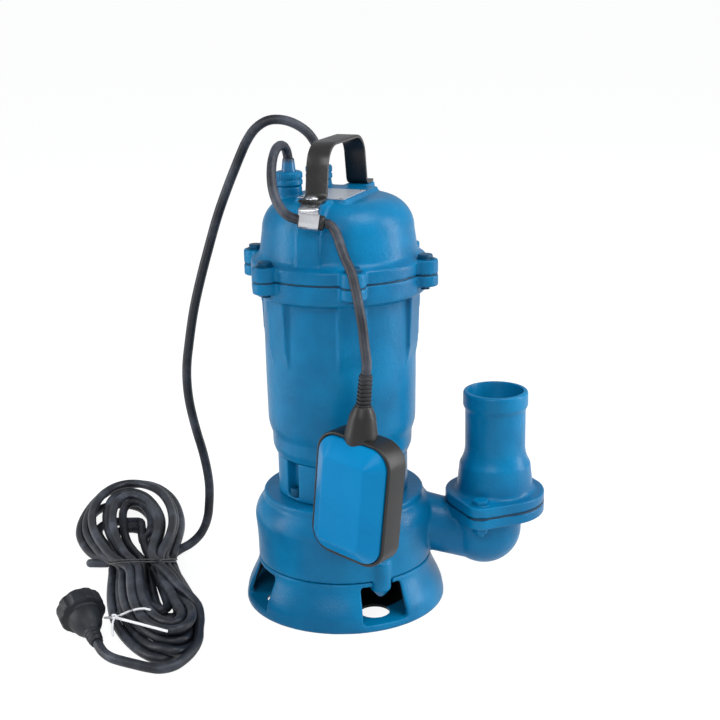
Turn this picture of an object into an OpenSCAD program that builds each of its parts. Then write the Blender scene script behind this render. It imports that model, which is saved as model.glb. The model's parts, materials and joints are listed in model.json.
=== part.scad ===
// Submersible sewage and sump pump with a float switch, a cast foot and a vertical
// 2 inch hose tail. Millimetres, +Z up. The origin is the centre of the foot's
// underside, +X points to the outlet and -Y is the front, where the float hangs.

/* [Foot] */
// Radius of the foot's rim
foot_r = 95; // [92:0.5:98]
// Height of the foot, floor to casing seam
foot_h = 43.7; // [42:0.1:46]
// Thickness of the foot's floor plate
foot_floor_t = 7; // [5:0.5:8]
// Radius of each wrench hole in the floor plate
wrench_hole_r = 14.2; // [12:0.1:15]
// Radius of the circle of wrench holes and foot screws
foot_screw_circle_r = 66; // [64:0.5:67]
// Width of each suction window, in degrees
window_angle = 28; // [20:1:32]

/* [Casing] */
// Radius of the casing at its bulge
casing_r = 84.4; // [82:0.2:86]
// Radius of the flat disc on top of the casing
casing_disc_r = 75.5; // [74:0.5:77]
// Height of the casing's top face above the floor
casing_top_z = 110; // [108:0.5:112]

/* [Outlet] */
// Distance of the hose tail's axis from the pump's axis
outlet_x = 144.2; // [142:0.2:148]
// Radius of the outlet flange's round body
outlet_flange_r = 47; // [45:0.5:48]
// Distance of each flange bolt from the hose tail's axis
outlet_bolt_r = 46.5; // [45:0.5:48]
// Outer radius of the hose tail's straight neck
tail_r = 28.4; // [28:0.1:29]
// Bore radius of the hose tail
tail_bore_r = 25.5; // [24:0.1:25.5]
// Height of the hose tail's lip above the floor
tail_top_z = 201.5; // [195:0.5:210]

/* [Motor] */
// Radius of the oil chamber
chamber_r = 61; // [60:0.5:62]
// Radius of the motor housing at its foot
housing_r = 68.8; // [68:0.2:70]
// Radius of the joint flange between housing and cover
flange_r = 80; // [79:0.5:81]
// Radius of the circle of cover bolts
cover_bolt_circle_r = 82.8; // [82:0.2:84]
// Turn of the first cover bolt from the front, in degrees
cover_bolt_turn = 8.5; // [0:0.5:20]
// Radius of the rotor core
rotor_r = 35; // [32:0.5:35]

/* [Cover] */
// Radius of the dome where it leaves the flange
dome_r = 71; // [70:0.2:72]
// Height of the dome's flat crown above the floor
dome_top_z = 387.5; // [386:0.5:389]
// Height of the handle pad above the floor
pad_z = 390.5; // [389.5:0.5:392]
// Turn of the handle about the pump's axis, in degrees
handle_turn = -21.5; // [-24:0.5:-18]

/* [Handle] */
// Width of the handle's steel strap
strap_w = 20.5; // [18:0.5:22]
// Thickness of the strap
strap_t = 3; // [2.5:0.1:3.5]
// Height of the strap's top above the floor
handle_top_z = 439; // [434:1:444]

/* [Float] */
// Height of the float's body
float_h = 113.5; // [110:0.5:116]
// Width of the float's body
float_w = 79; // [77:1:80]
// Depth of the float's shell, rim to back
float_d = 24; // [22:0.5:25]
// Travel of the float's switching ball
ball_travel = 14; // [10:1:16]

/* [Leads] */
// Diameter of the mains lead
mains_d = 9; // [8.5:0.1:9.2]
// Diameter of the float's lead
float_lead_d = 8.5; // [8:0.1:8.6]
// Loops in the hank of mains lead
hank_loops = 8; // [8:1:8]

/* [Hidden] */
$fn = 64;
BLUE = [0.06, 0.44, 0.66];
FLOAT_BLUE = [0.02, 0.51, 0.78];
BLACK = [0.10, 0.10, 0.11];
LEAD_GREY = [0.20, 0.21, 0.24];
STEEL = [0.78, 0.79, 0.81];
DARK_STEEL = [0.22, 0.23, 0.26];
COPPER = [0.72, 0.42, 0.22];
WHITE = [0.92, 0.92, 0.92];

gap = 0.3;                     // clearance between bodies that move past each other
nip = 0.1;                     // clearance of a screw in its hole
window_turn = 24;              // first suction window, from the front
foot_lug_turn = 25;            // first cast locating lug of the casing
foot_lug_r = 9.7;
foot_lug_circle_r = 77;
foot_ring_r = 58;              // inside of the foot's top ring
foot_floor_r = 18;             // inside of the foot's floor plate

casing_z = 44;                 // underside of the casing
volute_r = 73;                 // inside of the casing
volute_z = 54;                 // floor of the volute
volute_top_z = 99;
eye_r = 24;                    // suction eye
spigot_r = 50;                 // joint between casing and oil chamber

pot_x = 134;                   // centre of the elbow's pot
pot_r = 35.5;
pot_z = 66;
passage_r = 18;                // passage from the volute to the pot
throat_r = 21;                 // passage up through the outlet flange
flange_low_z = 83;
flange_t = 10;
gasket_t = 1.6;
ear_r = 13;
ear_turn = -22.4;              // the flange's front ear, from the front
tail_z = flange_low_z + flange_t + gasket_t;
tail_flange_t = 9.5;

chamber_z = casing_top_z + 0.4;
housing_z = 148;
pocket_turn = -50;
pocket_w = 16;
pocket_r = 49;                 // back wall of a screw pocket
pocket_z = 114;

flange_z = 320.4;              // top face of the housing's flange
cover_gasket_t = 1;
cover_z = flange_z + cover_gasket_t;
cover_lug_top_z = 334.2;
lug_r = 11.5;
crown_r = 29;                  // radius of the dome's shoulder
crown_x = 40;
wall = 5;
buttress_w = 22.4;
buttress_u = 72.6;             // flat front of each buttress, from the axis
pad_u = 42;
pad_v = 25;
handle_screw_u = 60;

float_gland = [-43.5, 3];
mains_gland = [-17, 40];
gland_r = 11.8;
gland_z = 397;
gland_top_z = 409.5;
boot_top_z = 421;

shaft_r = 8.5;
bearing_r = 20;
bearing_t = 12;
low_bearing_z = 150;
up_bearing_z = 303;
race_r = 14.25;                // circle of the bearing balls
ball_r = 3.6;
stator_r = 62;
stator_z = 195;
stator_top_z = 275;
impeller_r = 58;
impeller_z = 57;

// Clip and its sleeve: the lead's own axis in them is the float's hinge.
clip_turn = -5;
clip_tilt = 9;
clip_reach = 21;               // from the handle screw out to the lead's axis
clip_z = 378;
clip_w = 17;
clip_t = 1.2;
sleeve_r = 6.6;
sleeve_left = -10;
sleeve_right = 13;
clip_screw = [handle_screw_u * sin(handle_turn), -handle_screw_u * cos(handle_turn)];
clip_at = [clip_screw.x + clip_reach * sin(clip_turn), clip_screw.y - clip_reach * cos(clip_turn), clip_z];

float_at = [12.3, -122.3, 145.7];
float_yaw = -38.5;
float_roll = 6.4;
float_corner = 21;
rim_y = -11;                   // front of the shell's rim, in the float's own frame
boot_x = -1;                   // the boot's centre, in the float's own frame
relief_z = 84;                 // foot of the ribbed strain relief
relief_top = 112;

hank_at = [-205.4, 38];
hank_turn = 11.5;
hank_z = 5.8;                  // centre of the lowest layer
hank_s = 208;                  // half length of the outer loop
hank_w = 24;                   // half width at the waist
hank_bulge = 82;
hank_fan = 18;                 // how much wider the far end is spread than the near end
hank_pitch = 10.5;             // sideways from loop to loop
hank_layer = 9.5;
hank_rings = 24;               // rings per loop
hank_layer_loops = 2;
hank_end = hank_loops + 0.29;
hank_gather = 8;               // how far the rings are gathered into the bends, in degrees
tie_s = -97;
tie_t = 1;

plug_at = [-245, -73.7, 25.1];
plug_turn = -62;
plug_tilt = 18;
plug_back = 52;                // from the plug's face to the end of its boot
plug_axis = [cos(plug_turn) * cos(plug_tilt), sin(plug_turn) * cos(plug_tilt), -sin(plug_tilt)];

// ---- helpers ----

// Turns its children about the pump's axis, counted from the front.
module turned(a) {
    rotate([0, 0, a]) children();
}

// Copies its children n times about the pump's axis, the first turned by a.
module ring_of(n, a) {
    for (k = [0:n - 1]) turned(a + 360 * k / n) children();
}

// Upright cylinder at a distance in front of the axis.
module post(dist, r, z0, z1, fn = 32) {
    translate([0, -dist, z0]) cylinder(r = r, h = z1 - z0, $fn = fn);
}

// Ring with a rectangular section.
module ring(r0, r1, z0, z1, fn = 96) {
    rotate_extrude($fn = fn) polygon([[r0, z0], [r1, z0], [r1, z1], [r0, z1]]);
}

// Hexagon bolt with its head up, the head's seat at z = 0.
module bolt(r, head_r, head_h, shank) {
    cylinder(r = head_r, h = head_h, $fn = 6);
    translate([0, 0, -shank]) cylinder(r = r, h = shank + 0.01, $fn = 24);
}

// Socket screw with its head up, the head's seat at z = 0.
module socket_screw(r, head_r, head_h, shank) {
    difference() {
        translate([0, 0, -0.01]) cylinder(r = head_r, h = head_h, $fn = 32);
        translate([0, 0, head_h * 0.4]) cylinder(r = head_r * 0.5, h = head_h, $fn = 6);
    }
    translate([0, 0, -shank]) cylinder(r = r, h = shank, $fn = 24);
}

// Points of a circular arc.
function arc(cx, cy, r, a0, a1, n) = [for (i = [0:n]) let (a = a0 + (a1 - a0) * i / n)
    [cx + r * cos(a), cy + r * sin(a)]];

// Smooth step from 0 to 1.
function ease(t) = let (x = min(1, max(0, t))) x * x * (3 - 2 * x);

function unit(v) = v / norm(v);

// Outline of a strip of thickness t that follows a flat path.
function side(path, i, d) = let (n = len(path), a = path[max(0, i - 1)], b = path[min(n - 1, i + 1)],
    u = unit(b - a)) path[i] + d * [-u.y, u.x];
function strip(path, t) = concat([for (i = [0:len(path) - 1]) side(path, i, t / 2)],
    [for (i = [len(path) - 1:-1:0]) side(path, i, -t / 2)]);

// Smooth curve through a cord's points, n steps to a span.
function spline_at(p, i, t) = let (n = len(p) - 1, a = p[max(0, i - 1)], b = p[i], c = p[i + 1],
    d = p[min(n, i + 2)]) 0.5 * ((2 * b) + (c - a) * t + (2 * a - 5 * b + 4 * c - d) * t * t
    + (3 * b - a - 3 * c + d) * t * t * t);
function smooth(p, n) = concat([for (i = [0:len(p) - 2], k = [0:n - 1]) spline_at(p, i, k / n)],
    [p[len(p) - 1]]);

// Frames carried along a path, so that the tube doesn't twist.
function tangent(p, i) = unit(p[min(len(p) - 1, i + 1)] - p[max(0, i - 1)]);
function carried(p, i, n) = let (t = tangent(p, i), m = unit(n - (n * t) * t))
    i == len(p) - 1 ? [m] : concat([m], carried(p, i + 1, m));
function first_normal(p) = let (t = tangent(p, 0), h = abs(t.z) > 0.9 ? [1, 0, 0] : [0, 0, 1])
    unit(h - (h * t) * t);

// A cord as one closed tube of straight facets.
module tube(path, d, sides) {
    normals = carried(path, 0, first_normal(path));
    rings = [for (i = [0:len(path) - 1], k = [0:sides - 1]) let (t = tangent(path, i), n = normals[i],
        b = cross(t, n), a = 360 * (k + 0.5) / sides) path[i] + d / 2 * (cos(a) * n + sin(a) * b)];
    last = (len(path) - 1) * sides;
    walls = [for (i = [0:len(path) - 2], k = [0:sides - 1], half = [0, 1]) let (a = i * sides + k,
        b = i * sides + (k + 1) % sides) half == 0 ? [a, b, b + sides] : [a, b + sides, a + sides]];
    start = [for (k = [1:sides - 2]) [0, k + 1, k]];
    end = [for (k = [1:sides - 2]) [last, last + k, last + k + 1]];
    polyhedron(points = rings, faces = concat([for (f = walls) [f[2], f[1], f[0]]],
        [for (f = start) [f[2], f[1], f[0]]], [for (f = end) [f[2], f[1], f[0]]]));
}

// ---- cord routes, hand-chosen ----

clip_axis = [cos(clip_turn) * cos(clip_tilt), sin(clip_turn) * cos(clip_tilt), -sin(clip_tilt)];
float_up = [cos(float_yaw) * sin(float_roll), sin(float_yaw) * sin(float_roll), cos(float_roll)];
float_side = [cos(float_yaw) * cos(float_roll), sin(float_yaw) * cos(float_roll), -sin(float_roll)];
relief_end = float_at + boot_x * float_side + relief_top * float_up;

float_fixed_route = [
    [-43.5, 3, 398], [-43.5, 3, 410], [-43.7, 2.6, 421], [-45.2, -2.6, 430], [-48.6, -12.5, 434.6],
    [-52.4, -24, 433.4], [-55.2, -35, 427], [-56.4, -45, 417.5], [-55.8, -54, 406.5],
    [-53.2, -61.5, 396.5], [-48.8, -67.8, 388.3], [-43, -72.3, 382.8],
    clip_at + sleeve_left * clip_axis, clip_at, clip_at + sleeve_right * clip_axis
];
float_swing_route = [
    clip_at + (sleeve_right + gap) * clip_axis, clip_at + (sleeve_right + 4) * clip_axis,
    [-1.8, -82.2, 369], [2.2, -88.6, 358], [6, -95.5, 348.5], [10.5, -101.5, 339], [14, -108.5, 325], [16.6, -114.5, 311.5],
    [19, -119.5, 297], [20.5, -124, 281.5], relief_end + 9 * float_up, relief_end
];
mains_route = [
    [-17, 40, 398], [-17, 40, 410], [-17.4, 40.1, 421], [-21, 41, 432], [-30, 43, 442], [-42, 45, 448.5],
    [-54, 46, 451], [-66, 46.5, 449], [-76.5, 47, 441], [-84.5, 47, 429], [-91.5, 47, 414],
    [-102, 47, 390], [-113, 48, 362], [-123, 49, 331], [-131.5, 50.5, 303], [-139.5, 52.5, 273],
    [-146, 55.5, 240], [-150.5, 59.5, 210], [-150.5, 64, 180], [-146, 69, 148], [-139.5, 75, 115],
    [-136.5, 82, 84], [-138, 89, 60], [-141, 95, 41], [-146.5, 99.5, 26], [-154, 101.5, 15],
    [-162.5, 100.5, 8.5], [-171, 96, 5.4], [-177.5, 88.5, 4.8], [-182, 79, 4.8], [-184.2, 67.5, 5.2],
    [-183.9, 55, 5.7], hank_point(0)
];
tail_route = [
    hank_point(gathered(hank_end)), [-186, -169, 33.6], [-195, -166.5, 30.5], [-203.5, -161, 25],
    [-210, -153.5, 18], [-214.5, -144.5, 11.5], [-217.2, -134.5, 7.4], [-219, -126, 6.5],
    plug_at + plug_back * plug_axis
];

// The hank: loops that spiral in and out again, layer on layer, drawn in at the waist.
function inset(t) = t > hank_loops ? -hank_pitch * (t - hank_loops)
    : let (m = t % (2 * hank_layer_loops)) hank_pitch * (m < hank_layer_loops ? m : 2 * hank_layer_loops - m);
function climb(t) = let (n = hank_loops / hank_layer_loops - 1)
    [for (j = [1:n]) ease((t - hank_layer_loops * j + 0.25) / 0.5)] * [for (j = [1:n]) 1];
function hank_flat(t) = let (a = 360 * t, q = sin(a) * sin(a), i = inset(t))
    [cos(a) * (hank_w - i + (hank_bulge - hank_fan * sin(a) - (1.1 - 0.2 * sin(a)) * i) * q),
    -(hank_s - i) * sin(a)];
function hank_point(t) = let (f = hank_flat(t), c = cos(hank_turn), s = sin(hank_turn))
    [hank_at.x + f.x * c - f.y * s, hank_at.y + f.x * s + f.y * c, hank_z + hank_layer * climb(t)];
function gathered(u) = u + hank_gather * sin(720 * u) / 360;
hank_steps = round(hank_end * hank_rings);
hank_path = [for (i = [0:hank_steps]) hank_point(gathered(i * hank_end / hank_steps))];

// Length of each cord and the hank's least gap to itself, measured on the path.
function route_length(p, i = 0) = i == len(p) - 1 ? 0 : norm(p[i + 1] - p[i]) + route_length(p, i + 1);
hank_fine = [for (i = [0:hank_steps - 1], k = [0:3]) hank_path[i] * (1 - k / 4) + hank_path[i + 1] * k / 4];
hank_gap = min([for (i = [0:len(hank_fine) - 1]) let (a = hank_fine[i])
    min([for (j = [i + 32:len(hank_fine) - 1]) norm(hank_fine[j] - a), 1000])]) - mains_d;
echo(hank_least_gap = hank_gap, hank_length = route_length(hank_fine));
echo(mains_free = route_length(smooth(mains_route, 4)), mains_tail = route_length(smooth(tail_route, 4)));
echo(float_fixed = route_length(smooth(float_fixed_route, 4)),
    float_swing = route_length(smooth(float_swing_route, 4)));

// ---- foot and suction side ----

// Radius of the foot's flared skirt at a height.
function skirt(z) = 94.2 - 12 * ease((z - foot_floor_t) / (foot_h - foot_floor_t));

module foot() {
    step = (foot_h - foot_floor_t - 0.6) / 10;
    heights = [for (i = [0:10]) foot_floor_t + 0.6 + step * i];
    color(BLUE) difference() {
        rotate_extrude($fn = 96) polygon(concat(
            [[foot_floor_r, 0], [foot_r - 1, 0], [foot_r, 1], [foot_r, foot_floor_t - 1.4]],
            [for (z = heights) [skirt(z), z]],
            [[foot_ring_r, foot_h], [foot_ring_r, 39.5], [77.6, 39.5]],
            [for (i = [8:-1:1]) [skirt(heights[i]) - wall, heights[i]]],
            [[89, foot_floor_t], [foot_floor_r, foot_floor_t]]));
        ring_of(4, window_turn) rotate([0, 0, -90 - window_angle / 2])
            rotate_extrude(angle = window_angle, $fn = 96)
                polygon([[62, foot_floor_t], [100, foot_floor_t], [100, 39.5], [62, 39.5]]);
        ring_of(4, window_turn) post(foot_screw_circle_r, wrench_hole_r, -1, foot_floor_t + 1, 64);
        ring_of(2, window_turn + 90) post(foot_screw_circle_r, 4.3, 30, foot_h + 1);
        ring_of(2, foot_lug_turn) post(foot_lug_circle_r, foot_lug_r + gap, 20, foot_h + 1, 48);
    }
}

module foot_screws() {
    color(DARK_STEEL) ring_of(2, window_turn + 90) translate([0, -foot_screw_circle_r, 39.4])
        mirror([0, 0, 1]) bolt(4 - nip, 7.4, 5.5, 12.5);
}

module suction_plate() {
    color(BLUE) difference() {
        union() {
            ring(eye_r, 56, 38.5, casing_z - 0.1);
            ring(eye_r, 45.8, casing_z - 0.2, 50);
            ring(eye_r, eye_r + 5, 34, 39);
        }
        ring_of(3, 60) post(51, 3.1, 30, 60);
    }
}

module suction_plate_screws() {
    color(DARK_STEEL) ring_of(3, 60) translate([0, -51, 38.4]) mirror([0, 0, 1])
        socket_screw(3 - nip, 5, 5, 14);
}

// ---- casing and outlet ----

// Two-eared outlet flange about the hose tail's axis.
module oval_flange(z0, z1, bore_r) {
    reach = outlet_bolt_r;
    lean = acos((outlet_flange_r - ear_r) / reach);
    f = outlet_flange_r - 0.5;
    e = ear_r - 0.5;
    difference() {
        union() {
            translate([0, 0, z0 - 2]) cylinder(r = outlet_flange_r, h = z1 - z0 + 4, $fn = 96);
            for (k = [0, 180]) turned(ear_turn + k) {
                post(reach, ear_r, z0 - 2, z1 + 2, 48);
                translate([0, 0, z0 - 2]) linear_extrude(z1 - z0 + 4) polygon([
                    [f * sin(lean), -f * cos(lean)], [e * sin(lean), -reach - e * cos(lean)],
                    [-e * sin(lean), -reach - e * cos(lean)], [-f * sin(lean), -f * cos(lean)],
                    [-0.26 * f, -0.95 * f], [0.26 * f, -0.95 * f]]);
            }
        }
        for (z = [z0 - 5, z1]) translate([0, 0, z]) cylinder(r = outlet_flange_r + 30, h = 5);
        translate([0, 0, z0 - 1]) cylinder(r = bore_r, h = z1 - z0 + 2);
        for (k = [0, 180]) turned(ear_turn + k) post(reach, 4.4, z0 - 1, z1 + 1);
    }
}

module pump_casing() {
    shoulder = arc(casing_r - 26, 84, 26, 50, 0, 8);
    color(BLUE) difference() {
        union() {
            rotate_extrude($fn = 96) polygon(concat(
                [[40, casing_z], [82, casing_z], [82.6, 66]], [for (i = [8:-1:0]) shoulder[i]],
                [[casing_disc_r, 104.3], [casing_disc_r, casing_top_z - 1.4],
                [casing_disc_r - 1.4, casing_top_z], [40, casing_top_z]]));
            ring_of(2, foot_lug_turn) {
                translate([0, -foot_lug_circle_r, 0]) rotate_extrude($fn = 48)
                    polygon([[0, 26.5], [2.5, 26.5], [foot_lug_r, 35], [foot_lug_r, 62], [0, 62]]);
            }
            hull() {
                translate([66, 0, 76]) rotate([0, 90, 0]) cylinder(r = 28, h = 6, $fn = 32);
                translate([112, 0, 61]) rotate([0, 90, 0]) cylinder(r = 27, h = 8, $fn = 32);
            }
            translate([pot_x, 0, 0]) rotate_extrude($fn = 64) polygon(concat([[0, pot_z - pot_r]],
                arc(0, pot_z, pot_r, -84, 0, 12), [[pot_r, flange_low_z + 1], [0, flange_low_z + 1]]));
            translate([outlet_x, 0, 0])
                oval_flange(flange_low_z, flange_low_z + flange_t + 2, throat_r - 1);
        }
        translate([96, -70, flange_low_z + flange_t]) cube([120, 140, 20]);
        translate([0, 0, volute_z]) cylinder(r = volute_r, h = volute_top_z - volute_z, $fn = 96);
        translate([0, 0, casing_z - 1]) cylinder(r = 46, h = 20, $fn = 96);
        translate([0, 0, volute_top_z - 1]) cylinder(r = spigot_r, h = 20, $fn = 96);
        translate([58, 0, 70]) rotate([0, 96, 0]) cylinder(r = passage_r, h = 72, $fn = 48);
        translate([pot_x, 0, 0]) rotate_extrude($fn = 48) polygon(concat([[0, pot_z - pot_r + 7]],
            arc(0, pot_z + 1, pot_r - 7, -84, 84, 16), [[0, pot_z + pot_r - 6]]));
        translate([outlet_x, 0, pot_z]) cylinder(r = throat_r, h = 40, $fn = 64);
        ring_of(2, window_turn + 90) post(foot_screw_circle_r, 4, casing_z - 1, 53);
        ring_of(3, 60) post(51, 3, casing_z - 1, 53);
        ring_of(4, pocket_turn) post(55.5, 4, volute_top_z - 1, casing_top_z + 1);
    }
}

module outlet_gasket() {
    color(BLACK) translate([outlet_x, 0, 0])
        oval_flange(flange_low_z + flange_t, tail_z, throat_r + 4);
}

module hose_tail() {
    top = tail_z + tail_flange_t;
    color(BLUE) translate([outlet_x, 0, 0]) {
        difference() {
            oval_flange(tail_z, top, throat_r);
            translate([0, 0, tail_z + 3]) cylinder(r1 = throat_r, r2 = throat_r + 4, h = 20);
        }
        difference() {
            rotate_extrude($fn = 96) polygon(concat(
                [[throat_r + 1, top - 1], [37.3, top - 1], [37.3, top + 1.6], [36.2, top + 3]],
                arc(60, 148, 31.6, 213, 180, 6),
                [[tail_r, tail_top_z - 17.5], [tail_r + 2, tail_top_z - 14], [tail_r + 2, tail_top_z - 1],
                [tail_r + 1, tail_top_z], [throat_r + 1, tail_top_z]]));
            translate([0, 0, 120]) cylinder(r = tail_bore_r, h = 120, $fn = 96);
            translate([0, 0, top - 1.01]) cylinder(r1 = throat_r + 1.2, r2 = tail_bore_r, h = 17, $fn = 96);
        }
    }
}

module outlet_bolts() {
    color(DARK_STEEL) translate([outlet_x, 0, tail_z + tail_flange_t])
        for (k = [0, 180]) turned(ear_turn + k) translate([0, -outlet_bolt_r, 0]) bolt(4 - nip, 7.5, 4.8, 31);
}

module outlet_nuts() {
    color(DARK_STEEL) translate([outlet_x, 0, 0]) for (k = [0, 180]) turned(ear_turn + k) difference() {
        translate([0, -outlet_bolt_r, flange_low_z - 6.5]) cylinder(r = 7.5, h = 6.5, $fn = 6);
        post(outlet_bolt_r, 4, flange_low_z - 9, flange_low_z + 1, 24);
    }
}

// ---- shaft line ----

module shaft() {
    color(STEEL) {
        translate([0, 0, 61]) cylinder(r = 7, h = 40);
        translate([0, 0, 51]) cylinder(r = 5, h = 10.01, $fn = 32);
        translate([0, 0, 101]) cylinder(r = 8, h = 49);
        translate([0, 0, 150]) cylinder(r = shaft_r, h = 14);
        translate([0, 0, 164]) cylinder(r = 11, h = 137);
        translate([0, 0, 301]) cylinder(r = shaft_r, h = 15);
    }
}

// One curved channel vane, as the difference of two turned cylinders.
module vane(z0, h) {
    translate([0, 0, z0]) intersection() {
        difference() {
            translate([0, 30, 0]) cylinder(r = 33, h = h, $fn = 48);
            translate([0, 30, -1]) cylinder(r = 27, h = h + 2, $fn = 48);
        }
        translate([0, 0, -1]) difference() {
            cylinder(r = impeller_r - 0.6, h = h + 2, $fn = 96);
            translate([-60, -60, -1]) cube([60, 120, h + 4]);
        }
    }
}

module impeller() {
    color(DARK_STEEL) difference() {
        union() {
            translate([0, 0, 84]) cylinder(r = impeller_r, h = 6, $fn = 96);
            translate([0, 0, 61]) cylinder(r = 13, h = 37.5);
            for (k = [0:2]) turned(120 * k) vane(impeller_z, 27.5);
        }
        translate([0, 0, 50]) cylinder(r = 10.5, h = 11.3);
        translate([0, 0, 50]) cylinder(r = 7.05, h = 60);
    }
}

module impeller_nut() {
    color(STEEL) difference() {
        translate([0, 0, 52.9]) cylinder(r = 9.5, h = 8, $fn = 6);
        translate([0, 0, 50]) cylinder(r = 5.05, h = 20, $fn = 32);
    }
}

module casing_o_ring() {
    color(BLACK) translate([0, 0, 105]) rotate_extrude($fn = 96) translate([spigot_r - 1.6, 0])
        circle(r = 1.5, $fn = 16);
}

module oil_chamber() {
    color(BLUE) difference() {
        union() {
            rotate_extrude($fn = 96) polygon([[9, chamber_z], [chamber_r - 1, chamber_z],
                [chamber_r, chamber_z + 1], [chamber_r, housing_z - 0.1], [9, housing_z - 0.1]]);
            ring(9, spigot_r - 0.3, 100.5, chamber_z + 0.1);
        }
        translate([0, 0, 118]) cylinder(r = 45, h = 20, $fn = 96);
        translate([0, 0, 104.5]) cylinder(r = 17, h = 20);
        translate([0, 0, 90]) cylinder(r = 9.5, h = 80);
        translate([0, 0, 140]) cylinder(r = 16, h = 20);
        rotate_extrude($fn = 96) translate([spigot_r - 1.6, 105]) circle(r = 1.6, $fn = 16);
        ring_of(4, pocket_turn) translate([-pocket_w / 2, -chamber_r - 2, pocket_z])
            cube([pocket_w, chamber_r + 2 - pocket_r, 40]);
        ring_of(4, pocket_turn) post(55.5, 4.3, 100, 120);
        ring_of(4, pocket_turn + 45) post(50.5, 3, 141, 150);
    }
}

module chamber_screws() {
    color(DARK_STEEL) ring_of(4, pocket_turn) translate([0, -55.5, pocket_z + 0.02])
        socket_screw(4 - nip, 6.2, 8, 14);
}

module seal_seat() {
    color(WHITE) ring(9.6, 16.9, 104.6, 111);
}

module seal_head() {
    color(DARK_STEEL) {
        ring(8.05, 13.5, 111.1, 116);
        ring(8.05, 11.5, 115.9, 128);
        ring(8.05, 13.5, 127.9, 130);
    }
}

module lip_seal() {
    color(BLACK) ring(8.08, 15.95, 140.2, 147);
}

module bearing_outer(z) {
    color(STEEL) rotate_extrude($fn = 96) difference() {
        translate([race_r + 1.8, z]) square([bearing_r - race_r - 1.85, bearing_t]);
        translate([race_r, z + bearing_t / 2]) circle(r = ball_r + gap, $fn = 32);
    }
}

module bearing_inner(z) {
    color(STEEL) rotate_extrude($fn = 96) difference() {
        translate([shaft_r, z]) square([race_r - 1.8 - shaft_r, bearing_t]);
        translate([race_r, z + bearing_t / 2]) circle(r = ball_r + gap, $fn = 32);
    }
}

module bearing_balls(z) {
    color(STEEL) for (k = [0:7]) turned(45 * k) translate([0, -race_r, z + bearing_t / 2])
        sphere(r = ball_r, $fn = 24);
}

module lower_bearing_outer() {
    bearing_outer(low_bearing_z);
}

module lower_bearing_inner() {
    bearing_inner(low_bearing_z);
}

module lower_bearing_balls() {
    bearing_balls(low_bearing_z);
}

module upper_bearing_outer() {
    bearing_outer(up_bearing_z);
}

module upper_bearing_inner() {
    bearing_inner(up_bearing_z);
}

module upper_bearing_balls() {
    bearing_balls(up_bearing_z);
}

// ---- motor ----

// Square-shouldered lug round one cover bolt.
module cover_lug(z0, z1) {
    post(cover_bolt_circle_r, lug_r, z0, z1, 48);
    translate([-lug_r + 0.1, -cover_bolt_circle_r, z0]) cube([2 * lug_r - 0.2, 14, z1 - z0]);
}

module motor_housing() {
    color(BLUE) difference() {
        union() {
            rotate_extrude($fn = 96) polygon([[20, housing_z], [61, housing_z], [62.5, housing_z + 1],
                [65, housing_z + 8], [65.4, housing_z + 20], [66.4, housing_z + 23], [68, housing_z + 28],
                [housing_r, housing_z + 33], [70, 299.5], [73, 301], [flange_r - 1.5, 302.4],
                [flange_r, 304.5], [flange_r, flange_z], [20, flange_z]]);
            ring_of(6, cover_bolt_turn) {
                cover_lug(310, flange_z);
                translate([-12.5, 0, 0]) rotate([90, 0, 90]) linear_extrude(25)
                    polygon([[-62, 236], [-68.8, 240], [-72, 256], [-74.2, 305], [-62, 305]]);
            }
        }
        translate([0, 0, 166]) cylinder(r = stator_r + 0.1, h = 200, $fn = 96);
        translate([0, 0, 158]) rotate_extrude($fn = 96) polygon([[27, 0], [58, 0], [58, 9], [27, 9]]);
        translate([0, 0, 300]) cylinder(r = 64.6, h = 40, $fn = 96);
        translate([0, 0, low_bearing_z]) cylinder(r = bearing_r, h = 40, $fn = 96);
        translate([0, 0, 140]) cylinder(r = 17, h = 40);
        ring_of(6, cover_bolt_turn) post(cover_bolt_circle_r, 4, 306, flange_z + 1);
        ring_of(4, pocket_turn + 45) post(50.5, 3.2, housing_z - 1, 165);
    }
}

module housing_screws() {
    color(DARK_STEEL) ring_of(4, pocket_turn + 45) translate([0, -50.5, 158.02])
        socket_screw(3 - nip, 5, 6, 16);
}

module stator_core() {
    color(DARK_STEEL) difference() {
        ring(rotor_r + 0.6, stator_r, stator_z, stator_top_z);
        ring_of(12, 0) translate([-3, -50, stator_z - 1]) cube([6, 11, stator_top_z - stator_z + 2]);
    }
}

module stator_windings() {
    color(COPPER) for (z = [stator_z - 9.2, stator_top_z + 9.2]) translate([0, 0, z])
        rotate_extrude($fn = 96) translate([48, 0]) circle(r = 9, $fn = 24);
}

module rotor_core() {
    color(STEEL) {
        ring(11.02, rotor_r, stator_z, stator_top_z);
        ring(20, 31, stator_z - 6, stator_z + 0.01);
        ring(20, 31, stator_top_z - 0.01, stator_top_z + 6);
    }
}

module bearing_carrier() {
    color(DARK_STEEL) difference() {
        union() {
            ring(10, 64.4, 300.2, 304.2);
            ring(10, 26, 300.2, 316.5);
        }
        translate([0, 0, up_bearing_z]) cylinder(r = bearing_r, h = 30, $fn = 96);
        translate([0, 0, 290]) cylinder(r = 16, h = 30);
        ring_of(3, 30) post(50, 8, 299, 310);
    }
}

module capacitor() {
    color(BLACK) translate([43.5, 0, 304.3]) {
        cylinder(r = 16, h = 56);
        translate([0, 0, 55.9]) cylinder(r = 13, h = 2.5);
    }
}

// ---- cover ----

module cover_gasket() {
    color(BLACK) difference() {
        union() {
            ring(64.6, flange_r - 0.5, flange_z, cover_z);
            ring_of(6, cover_bolt_turn) post(cover_bolt_circle_r, lug_r - 0.5, flange_z, cover_z, 48);
        }
        ring_of(6, cover_bolt_turn) post(cover_bolt_circle_r, 4.4, flange_z - 1, cover_z + 1);
    }
}

module gland_boss(p) {
    translate([p.x, p.y, 378]) cylinder(r = gland_r, h = gland_z - 378, $fn = 48);
}

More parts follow.
